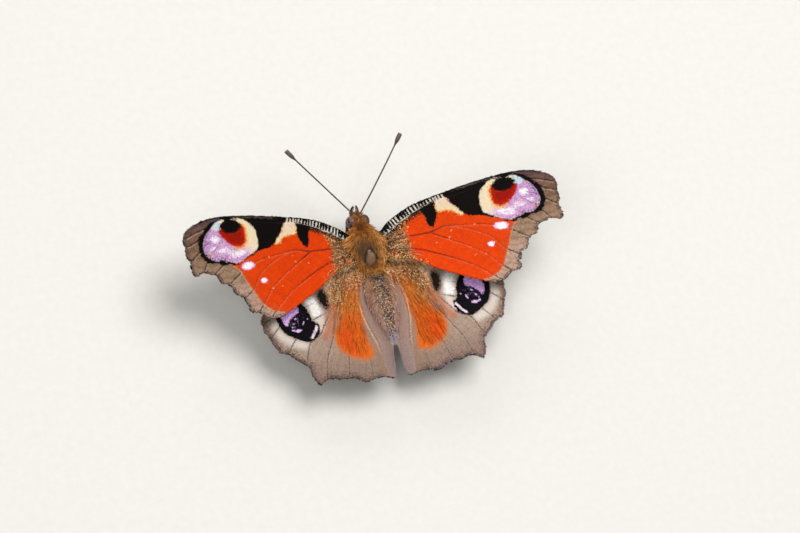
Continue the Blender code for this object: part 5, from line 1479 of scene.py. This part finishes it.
class BUTTERFLY_OT_body_coat(bpy.types.Operator):
    """Cover the body with fur and scales"""
    bl_idname = "butterfly.body_coat"
    bl_label = "Body fur"

    def execute(self, context):
        hues = context.scene.butterfly_colours
        sizes = context.scene.butterfly_sizes
        dice = np.random.default_rng([sizes.seed, 50])
        hair = hair_shape("fur shape", 0.16, 2)
        scale = scale_shape()
        self.patch("fur_thorax", hair, "fur", 3.5, -3.9, sizes.fur_step / MM, hues, sizes, dice)
        self.patch("fur_head", hair, "fur", 6.05, 3.3, 0.85 * sizes.fur_step / MM, hues, sizes, dice)
        self.patch("scales_abdomen", scale, "abdomen_scales", -3.6, -14.85, 0.115, hues, sizes, dice)
        self.patch("fur_abdomen", hair, "abdomen_scales", -3.55, -14.8, 0.16, hues, sizes, dice)
        for shape in (scale, hair):
            bpy.data.objects.remove(shape, do_unlink=True)
        return {"FINISHED"}

    @staticmethod
    def patch(name, shape, slot_name, front, rear, spacing, hues, sizes, dice):
        heights = []
        turns = []
        for i, y in enumerate(np.arange(front, rear, -spacing)):
            _, _, half, rise, drop = body_row(y)
            count = max(6, int(2.0 * math.pi * 0.5 * (half + 0.5 * (rise + drop)) / spacing))
            turns.append(2.0 * math.pi * (np.arange(count) + 0.5 * (i % 2)) / count)
            heights.append(np.full(count, y))
        y = np.concatenate(heights)
        turn = np.concatenate(turns)
        y += dice.normal(0.0, 0.35 * spacing, len(y))
        turn += dice.normal(0.0, 0.15, len(y)) * spacing
        point, normal, back = body_surface(y, turn)
        tint = skin_tint(point, hues, dice)
        count = len(y)
        chance = dice.random(count)
        wild = dice.normal(0.0, 1.0, (count, 3))
        above = ramp(point[:, 2], 5.4, 6.6)
        aside = np.abs(point[:, 0] - body_row(y)[0])
        keep = np.ones(count, bool)

        def touch(code, share):
            tint[:] += (np.array(linear(code)) - tint) * np.clip(share, 0.0, 1.0)[:, None]

        if name == "fur_thorax":
            reach = worn_reach(point)
            top = ramp(point[:, 2], 6.6, 7.1)
            worn = (1.0 - ramp(reach, 0.5, 0.95)) * top
            flank = ramp(aside, 1.3, 2.1)
            shoulder = flank * ramp(y, 0.0, 1.2)
            tail = ramp(-y, 2.75, 2.85) * ramp(point[:, 2], 5.2, 6.0)
            length = sizes.fur_length / MM * dice.uniform(0.6, 1.15, count) * (0.7 + 0.35 * flank + 0.25 * shoulder)
            length *= (1.0 - 0.7 * worn) * (1.0 + 0.25 * ramp(y, 2.0, 3.0))
            length *= 1.0 - 0.45 * ramp(-y, 1.9, 2.2) * (1.0 - tail)
            length += (dice.uniform(1.6, 2.3, count) - length) * tail
            lift = dice.uniform(0.2, 0.55, count) * (0.6 + 0.6 * flank) * (1.0 - 0.5 * worn)
            lift += dice.uniform(0.1, 0.4, count) * np.maximum(shoulder, 0.6 * ramp(y, 2.0, 3.0))
            lift += (dice.uniform(0.1, 0.3, count) - lift) * tail
            keep = (dice.random(count) > 0.75 * worn) & ~((y < -3.35) & (point[:, 2] > 5.2))
            touch("#DC984A", 0.85 * (chance < 0.3) * (1.0 - worn))
            touch("#4A2A12", 0.8 * (chance > 0.8))
            touch("#5C4A34", 0.6 * (1.0 - ramp(oval(point, (-0.7, -1.1), (2.0, 2.7)), 0.3, 1.2)) * top)
            touch("#2E2118", 0.85 * ramp(reach, 0.55, 0.8) * (1.0 - ramp(reach, 1.3, 2.0)) * top)
            touch("#8A6448", 0.9 * worn)
            touch("#DD8E3A", (chance < 0.85) * tail)
            touch("#EFAA54", 0.6 * (chance > 0.55) * tail)
            sideways = np.column_stack([np.sign(point[:, 0]), np.zeros(count), np.full(count, 0.3)])
            tuft = np.where(point[:, 0] < 0.0, 1.3, 0.2) * ramp(aside, 1.0, 1.7) * ramp(y, -1.5, 1.5)
            tuft *= ramp(point[:, 2], 5.4, 6.2)
            length *= 1.0 + 0.6 * tuft
            way = unit(back + normal * lift[:, None] + sideways * tuft[:, None] + 0.15 * wild)
            width = 0.08
            lit = 0.18
        elif name == "fur_head":
            collar = 1.0 - ramp(y, 3.7, 4.3)
            length = sizes.fur_length / MM * dice.uniform(0.4, 0.7, count) * (1.0 + (0.8 + 0.7 * (point[:, 0] < HEAD_SHIFT)) * collar)
            middle = point - (HEAD_SHIFT, 0.0, 0.0)
            eye = ((np.abs(middle[:, 0]) - EYE_CENTRE[0]) / (EYE_RADII[0] + 0.04)) ** 2
            eye += ((point[:, 1] - EYE_CENTRE[1]) / (EYE_RADII[1] + 0.04)) ** 2
            eye += ((point[:, 2] - EYE_CENTRE[2]) / (EYE_RADII[2] + 0.04)) ** 2
            keep = eye > 1.0
            forward = ramp(y, 4.0, 5.0)[:, None]
            sideways = np.column_stack([np.sign(middle[:, 0]), np.zeros(count), np.zeros(count)])
            left = (collar * (point[:, 0] < HEAD_SHIFT) * ramp(aside, 0.5, 1.2))[:, None]
            brow = (1.0 - ramp(eye, 1.4, 2.6))[:, None] * ramp(point[:, 2], 5.6, 6.0)[:, None]
            length *= 1.0 + 0.25 * brow[:, 0]
            way = -back * forward * 0.4 + normal * 0.45 + back * (1.0 - forward) * 0.9
            way = unit(way + sideways * brow + (-0.9, 0.0, 0.3) * left + 0.2 * wild)
            touch("#C07C38", 0.8 * (chance < 0.3))
            touch("#B2602A", 0.5 * ramp(chance, 0.3, 0.31) * (1.0 - ramp(chance, 0.55, 0.56)))
            touch("#5A3424", 0.8 * (chance > 0.8))
            touch("#B48A78", 0.6 * (chance > 0.9) * ramp(y, 3.9, 4.4))
            width = 0.075
            lit = 0.18
        elif name == "scales_abdomen":
            length = 0.28
            way = unit(back + normal * dice.uniform(0.05, 0.25, count)[:, None] + 0.12 * wild)
            width = 0.19
            lit = 0.14
        else:
            side = ramp(aside, 0.7, 1.7)
            length = 0.35 + 0.35 * side + 0.6 * ramp(-y, 13.0, 14.4)
            length = length * dice.uniform(0.7, 1.25, count)
            outwards = np.column_stack([np.sign(point[:, 0]), np.zeros(count), np.zeros(count)])
            lift = dice.uniform(0.1, 0.4, count)[:, None]
            way = unit(back + normal * lift + 0.6 * outwards * side[:, None] * ramp(-y, 5.0, 7.0)[:, None] + 0.2 * wild)
            touch("#DDB8A4", (chance < 0.34) * side)
            touch("#A25C3C", (chance > 0.84) * side)
            touch("#C9C0CC", (chance < 0.7) * ramp(-y, 13.2, 14.2))
            width = 0.08
            lit = 0.16
        tint = np.clip(tint * dice.normal(1.0, lit, count)[:, None], 0.0, 1.0)
        part = np.column_stack([(turn / (2.0 * math.pi) + 0.25) % 1.0, (y - rear) / (front - rear)])
        spot = 0.01 + 0.97 * np.clip(part, 0.0, 1.0)
        roots = Roots()
        roots.add(point[keep] - normal[keep] * 0.02, way[keep], normal[keep], np.broadcast_to(length, count)[keep],
                  width, tint[keep], spot[keep])
        finish = finishes()["scales" if name == "scales_abdomen" else "hair"]
        roots.grow(name, shape, finish, sizes, (0.9, 1.1))


class BUTTERFLY_OT_head(bpy.types.Operator):
    """Build eyes, palps, proboscis and feelers"""
    bl_idname = "butterfly.head"
    bl_label = "Eyes, palps, proboscis and feelers"

    def execute(self, context):
        hues = context.scene.butterfly_colours
        sizes = context.scene.butterfly_sizes
        dice = np.random.default_rng([sizes.seed, 80])
        hair = hair_shape("palp hair shape", 0.1, 2)
        for side, sign in SIDES.items():
            self.eye(side, sign)
            self.palp(side, sign, hair, hues, sizes, dice)
            self.feeler(side, sign)
        self.proboscis()
        bpy.data.objects.remove(hair, do_unlink=True)
        return {"FINISHED"}

    @staticmethod
    def eye(side, sign):
        shape = bmesh.new()
        bmesh.ops.create_icosphere(shape, subdivisions=5, radius=1.0)
        for vertex in shape.verts:
            outwards = vertex.co.x * EYE_RADII[0]
            outwards = max(outwards, EYE_BASE - EYE_CENTRE[0])
            local = (HEAD_SHIFT + sign * (EYE_CENTRE[0] + outwards), EYE_CENTRE[1] + vertex.co.y * EYE_RADII[1],
                     EYE_CENTRE[2] + vertex.co.z * EYE_RADII[2])
            vertex.co = place(local)[0]
        bmesh.ops.recalc_face_normals(shape, faces=shape.faces)
        mesh = bpy.data.meshes.new("compound_eye_" + side)
        shape.to_mesh(mesh)
        shape.free()
        piece("compound_eye_" + side, mesh, finishes()["eye"], ("eye_" + side,))

    @staticmethod
    def palp(side, sign, hair, hues, sizes, dice):
        path = smooth_path(mirror(PALP_PATH, sign) + (HEAD_SHIFT, 0.0, 0.0), 0.12)
        radii = np.interp(np.linspace(0.0, 1.0, len(path)), np.linspace(0.0, 1.0, len(PALP_RADII)), PALP_RADII)
        vertices, faces = lathe_tube(path, radii, 14)
        mesh = solid_mesh("palp_core_" + side, [(vertices, faces)])
        inner = ramp(-sign * (vertices[:, 0] - np.interp(vertices[:, 1], path[:, 0 + 1], path[:, 0])), -0.02, 0.1)
        tint = np.array(linear("#3A2318")) + (np.array(linear("#F2E9CC")) - np.array(linear("#3A2318"))) * inner[:, None]
        paint(mesh, tint)
        piece("palp_core_" + side, mesh, finishes()["skin"], ("palp_" + side,))
        count = 520
        part = dice.random(count)
        turn = dice.random(count) * 2.0 * math.pi
        index = part * (len(path) - 1)
        low = index.astype(int)
        low = np.minimum(low, len(path) - 2)
        centre = path[low] + (path[low + 1] - path[low]) * (index - low)[:, None]
        ahead = unit(path[low + 1] - path[low])
        out = unit(np.cross(ahead, np.broadcast_to((1.0, 0.0, 0.0), ahead.shape)))
        other = np.cross(ahead, out)
        normal = out * np.cos(turn)[:, None] + other * np.sin(turn)[:, None]
        radius = np.interp(part, np.linspace(0.0, 1.0, len(PALP_RADII)), PALP_RADII)
        point = centre + normal * (0.9 * radius)[:, None]
        coat = Coat(count, linear("#3C2418"), dice)
        coat.lay(linear("#7A4A34"), np.full(count, 0.3))
        coat.lay(linear("#F2E6C4"), 0.95 * ramp(-sign * normal[:, 0], 0.15, 0.6) * ramp(part, 0.3, 0.5))
        way = unit(ahead * 1.0 + normal * 0.35 + dice.normal(0.0, 0.12, (count, 3)))
        roots = Roots()
        spot = np.column_stack([0.02 + 0.95 * turn / (2.0 * math.pi), 0.02 + 0.95 * part])
        length = np.where(part < 0.35, 0.5, 0.26)
        roots.add(point, way, normal, length, 0.05, coat.tint, spot)
        roots.grow("palp_hairs_" + side, hair, finishes()["hair"], sizes)

    @staticmethod
    def proboscis():
        """A watch spring coil in the middle plane, its outer end at the mouth, finely ringed."""
        path = []
        radii = []
        count = 150
        for i in range(count + 1):
            part = i / count
            turn = COIL_START - part * COIL_TURNS * 2.0 * math.pi
            reach = COIL_OUTER + (COIL_INNER - COIL_OUTER) * part - COIL_TUBE
            path.append((0.0, COIL_CENTRE[1] + reach * math.cos(turn), COIL_CENTRE[2] + reach * math.sin(turn)))
            radii.append(COIL_TUBE * (1.0 - 0.5 * part) * (1.0 + 0.07 * (i % 2)))
        stem = smooth_path([(0.0, 5.75, 4.75), (0.0, 5.65, 4.3), (0.0, 5.5, 3.95), path[0]], 0.08)[:-1]
        path = np.vstack([stem, path])
        radii = [COIL_TUBE] * len(stem) + radii
        mesh = solid_mesh("coiled_proboscis", [lathe_tube(path, radii, 10)])
        piece("coiled_proboscis", mesh, finishes()["tongue"], ("proboscis",))

    @staticmethod
    def feeler(side, sign):
        """A thin ringed shaft that swells into a flattened club with a pale tip."""
        base = np.array(ANTENNA_BASE)
        tip = base + (np.array(ANTENNA_TIP) - base) * 1.022
        length = float(np.linalg.norm(tip - base))
        reach = np.unique(np.concatenate([np.arange(0.0, length, SHAFT_RING / 4.0), [length]]))
        part = reach / length
        path = base + (tip - base) * part[:, None]
        path[:, 2] += ANTENNA_BOW * np.sin(math.pi * part)
        path[:, 0] += 0.12 * np.sin(math.pi * part)
        swell = ramp(reach, length - CLUB_LENGTH, length - 0.5 * CLUB_LENGTH)
        close = ramp(reach, length - 0.16 * CLUB_LENGTH, length)
        joint = np.abs((reach / SHAFT_RING) % 1.0 - 0.5) * 2.0
        radii = SHAFT_RADIUS * (1.0 - 0.12 * joint) + (CLUB_RADIUS - SHAFT_RADIUS) * swell
        radii *= np.sqrt(np.maximum(0.02, 1.0 - close ** 2))
        stem = smooth_path([ANTENNA_ROOT, ANTENNA_BASE], 0.1)[:-1]
        path = np.vstack([stem, path])
        radii = np.concatenate([np.linspace(0.2, 0.15, len(stem)), radii])
        sides = 12
        path = mirror(path, sign)
        path[:, 0] += HEAD_SHIFT * (1.0 - np.linspace(0.0, 1.0, len(path)))
        vertices, faces = lathe_tube(path, radii, sides)
        mesh = solid_mesh("feeler_" + side, [(vertices, faces)])
        reach = np.concatenate([np.zeros(len(stem)), reach])
        reach = np.concatenate([np.repeat(reach, sides), [0.0, length]])
        joint = np.abs((reach / SHAFT_RING) % 1.0 - 0.5) * 2.0
        coat = Coat(len(vertices), linear("#1C1208"))
        coat.glaze(linear("#7A683F"), 0.5 * ramp(joint, 0.72, 0.95) * (1.0 - ramp(reach, length - CLUB_LENGTH, length - 1.5)))
        coat.glaze(linear("#4E3B38"), 0.9 * ramp(reach, length - CLUB_LENGTH, length - 1.2))
        coat.glaze(linear("#EADFCC"), 0.95 * ramp(reach, length - 0.34, length - 0.16))
        paint(mesh, coat.tint)
        piece("feeler_" + side, mesh, finishes()["feeler"], ("antenna_" + side,))


class BUTTERFLY_OT_legs(bpy.types.Operator):
    """Build the six legs with their claws and short hairs"""
    bl_idname = "butterfly.legs"
    bl_label = "Legs"

    def execute(self, context):
        sizes = context.scene.butterfly_sizes
        hues = context.scene.butterfly_colours
        dice = np.random.default_rng([sizes.seed, 120])
        hair = hair_shape("leg hair shape", 0.1, 2)
        for side, sign in SIDES.items():
            for name in LEGS:
                path, radii = self.line(name)
                shells = [lathe_tube(mirror(path, sign), radii, 12)]
                if name != "foreleg":
                    shells += self.claws(path, sign)
                mesh = solid_mesh("leg_" + name + "_" + side, shells)
                piece("leg_" + name + "_" + side, mesh, finishes()["horn"], (name + "_" + side,))
                self.coat(name, side, sign, path, radii, hair, hues, sizes, dice)
        bpy.data.objects.remove(hair, do_unlink=True)
        return {"FINISHED"}

    @staticmethod
    def line(name):
        """The leg's middle line with rounded corners, its thigh swollen and its foot jointed."""
        path = smooth_path(LEGS[name], 0.1)
        given = np.array(LEGS[name])
        marks = [int(np.argmin(np.linalg.norm(path - p, axis=1))) for p in given]
        radii = np.interp(np.arange(len(path)), marks, LEG_RADII[name])
        if name != "foreleg":
            thigh = (marks[2], marks[3])
            part = np.clip((np.arange(len(path)) - thigh[0]) / (thigh[1] - thigh[0]), 0.0, 1.0)
            radii *= 1.0 + 0.25 * np.sin(math.pi * part)
            foot = np.clip((np.arange(len(path)) - marks[-2]) / max(1, marks[-1] - marks[-2]), 0.0, 1.0)
            wave = np.abs((foot * TARSUS_JOINTS) % 1.0 - 0.5) * 2.0
            radii *= 1.0 - 0.22 * ramp(wave, 0.6, 1.0) * (foot > 0.0)
            path[:, 2] = np.maximum(path[:, 2], radii + 0.01)
        return path, radii

    @staticmethod
    def claws(path, sign):
        """Two curved claws at the end of the foot."""
        toe = path[-1]
        ahead = path[-1] - path[-3]
        ahead /= np.linalg.norm(ahead)
        aside = np.cross(ahead, (0.0, 0.0, 1.0))
        shells = []
        for way in (-1.0, 1.0):
            line = []
            for i in range(7):
                part = i / 6.0
                line.append(toe + ahead * CLAW_LENGTH * part + aside * way * 0.16 * part
                            + np.array((0.0, 0.0, 0.1 * math.sin(math.pi * part) - 0.1 * part)))
            shells.append(lathe_tube(mirror(np.array(line), sign), np.linspace(0.06, 0.02, 7), 6))
        return shells

    @staticmethod
    def coat(name, side, sign, path, radii, hair, hues, sizes, dice):
        """Short hairs all along, a little shaggier on the thigh and the foreleg."""
        count = 620
        index = dice.random(count) * (len(path) - 2)
        low = index.astype(int)
        centre = path[low] + (path[low + 1] - path[low]) * (index - low)[:, None]
        ahead = unit(path[low + 1] - path[low])
        first = unit(np.cross(ahead, np.broadcast_to((0.3, 0.2, 1.0), ahead.shape)))
        second = np.cross(ahead, first)
        turn = dice.random(count) * 2.0 * math.pi
        normal = first * np.cos(turn)[:, None] + second * np.sin(turn)[:, None]
        point = centre + normal * (0.92 * radii[low])[:, None]
        way = unit(ahead + normal * 0.5 + dice.normal(0.0, 0.12, (count, 3)))
        part = index / len(path)
        length = np.where(part < 0.5, 0.42, 0.22) * (1.5 if name == "foreleg" else 1.0)
        way[:, 2] = np.where(point[:, 2] + way[:, 2] * length < 0.02, np.abs(way[:, 2]) * 0.2, way[:, 2])
        point[:, 2] = np.maximum(point[:, 2], 0.03)
        coat = Coat(count, linear("#9A6430" if name == "foreleg" else "#6E4A2E"), dice)
        coat.lay(linear("#2A1B14"), np.full(count, 0.2 if name == "foreleg" else 0.4))
        coat.lay(linear("#B08A5A"), 0.3 * (part > 0.5))
        flip = np.array((sign, 1.0, 1.0))
        roots = Roots()
        spot = np.column_stack([0.02 + 0.95 * turn / (2.0 * math.pi), 0.02 + 0.95 * part])
        roots.add(point * flip, way * flip, normal * flip, length, 0.045, coat.tint, spot)
        roots.grow("hairs_" + name + "_" + side, hair, finishes()["hair"], sizes)


class BUTTERFLY_OT_stage(bpy.types.Operator):
    """Set the pale floor, the soft studio light and the camera of the photograph"""
    bl_idname = "butterfly.stage"
    bl_label = "Floor, light and camera"

    def execute(self, context):
        scene = context.scene
        self.floor(scene)
        self.light(scene, "key light", (0.15, 0.08, 0.55), 0.42, 3.0)
        self.light(scene, "fill light", (-0.3, -0.2, 0.45), 0.45, 1.2)
        self.light(scene, "rim light", (-0.05, 0.5, 0.3), 0.3, 0.7)
        world = bpy.data.worlds.new("studio")
        world.use_nodes = True
        world.node_tree.nodes["Background"].inputs["Color"].default_value = (1.0, 0.98, 0.95, 1.0)
        world.node_tree.nodes["Background"].inputs["Strength"].default_value = 0.28
        scene.world = world
        scene.view_settings.view_transform = "Standard"
        self.camera(scene)
        return {"FINISHED"}

    @staticmethod
    def floor(scene):
        mesh = bpy.data.meshes.new("floor")
        size = 3.0
        mesh.from_pydata([(-size, -size, 0.0), (size, -size, 0.0), (size, size, 0.0), (-size, size, 0.0)], [], [(0, 1, 2, 3)])
        floor = bpy.data.objects.new("floor", mesh)
        scene.collection.objects.link(floor)
        finish, tree, shader = principled("matt studio card")
        where = add_node(tree, "ShaderNodeTexCoord")
        # Paper grain about 1 mm across, hardly seen
        grain = add_node(tree, "ShaderNodeTexNoise", {"Vector": where.outputs["Object"], "Scale": 900.0, "Detail": 2.0})
        blend = add_node(tree, "ShaderNodeMix", {"A": (*linear("#D2D0CA"), 1.0), "B": (*linear("#DAD8D2"), 1.0)},
                         data_type="RGBA")
        tree.links.new(grain.outputs[0], blend.inputs["Factor"])
        tree.links.new(blend.outputs["Result"], shader.inputs["Base Color"])
        shader.inputs["Roughness"].default_value = 0.9
        mesh.materials.append(finish)

    @staticmethod
    def light(scene, name, spot, size, power):
        lamp = bpy.data.lights.new(name, "AREA")
        lamp.shape = "DISK"
        lamp.size = size
        lamp.energy = power
        holder = bpy.data.objects.new(name, lamp)
        holder.location = spot
        holder.rotation_euler = (-Vector(spot)).to_track_quat("-Z", "Y").to_euler()
        scene.collection.objects.link(holder)

    @staticmethod
    def camera(scene):
        """Look down on the butterfly from behind its left side, turned as the photograph is."""
        away = Vector(AWAY).normalized()
        across = Vector((1.0, 0.0, 0.0))
        across = (across - away * across.dot(away)).normalized()
        upright = away.cross(across)
        lean_x, lean_y = Vector(RIGHT_IN_PICTURE).normalized()
        right = across * lean_x - upright * lean_y
        up = across * lean_y + upright * lean_x
        target = Vector(place((0.0, 0.0, BODY_AXIS))[0])
        eye = target + away * CAMERA_DISTANCE * MM
        focal = PIXELS_PER_MM * CAMERA_DISTANCE
        middle_x = (PICTURE[0] / 2.0 - THORAX_PIXEL[0]) / focal
        middle_y = -(PICTURE[1] / 2.0 - THORAX_PIXEL[1]) / focal
        look = (right * middle_x + up * middle_y - away).normalized()
        right = (right - look * right.dot(look)).normalized()
        up = right.cross(look)
        lens = bpy.data.cameras.new("camera")
        lens.sensor_width = SENSOR
        lens.lens = focal / PICTURE[0] * SENSOR
        lens.clip_start = 0.01
        lens.clip_end = 20.0
        view = bpy.data.objects.new("camera", lens)
        view.matrix_world = Matrix.Translation(eye) @ Matrix((right, up, -look)).transposed().to_4x4()
        scene.collection.objects.link(view)
        scene.camera = view


class BUTTERFLY_PT_parts(bpy.types.Panel):
    """Shows the sizes, the colours and the buttons that build the butterfly"""
    bl_idname = "BUTTERFLY_PT_parts"
    bl_label = "Butterfly"
    bl_space_type = "VIEW_3D"
    bl_region_type = "UI"
    bl_category = "Butterfly"

    def draw(self, context):
        layout = self.layout
        for settings in (context.scene.butterfly_sizes, context.scene.butterfly_colours):
            for name in settings.__annotations__:
                layout.prop(settings, name)
        for operator in OPERATORS:
            layout.operator(operator.bl_idname)


OPERATORS = (BUTTERFLY_OT_stage, BUTTERFLY_OT_body, BUTTERFLY_OT_head, BUTTERFLY_OT_legs, BUTTERFLY_OT_wings,
             BUTTERFLY_OT_wing_coat, BUTTERFLY_OT_body_coat)
CLASSES = (ButterflySizes, ButterflyColours, *OPERATORS, BUTTERFLY_PT_parts)


def register():
    for kind in CLASSES:
        bpy.utils.register_class(kind)
    bpy.types.Scene.butterfly_sizes = PointerProperty(type=ButterflySizes)
    bpy.types.Scene.butterfly_colours = PointerProperty(type=ButterflyColours)


def unregister():
    del bpy.types.Scene.butterfly_colours
    del bpy.types.Scene.butterfly_sizes
    for kind in reversed(CLASSES):
        bpy.utils.unregister_class(kind)


def main():
    register()
    bpy.ops.butterfly.stage()
    bpy.ops.butterfly.body()
    bpy.ops.butterfly.head()
    bpy.ops.butterfly.legs()
    bpy.ops.butterfly.wings()
    bpy.ops.butterfly.wing_coat()
    bpy.ops.butterfly.body_coat()


if __name__ == "__main__":
    main()
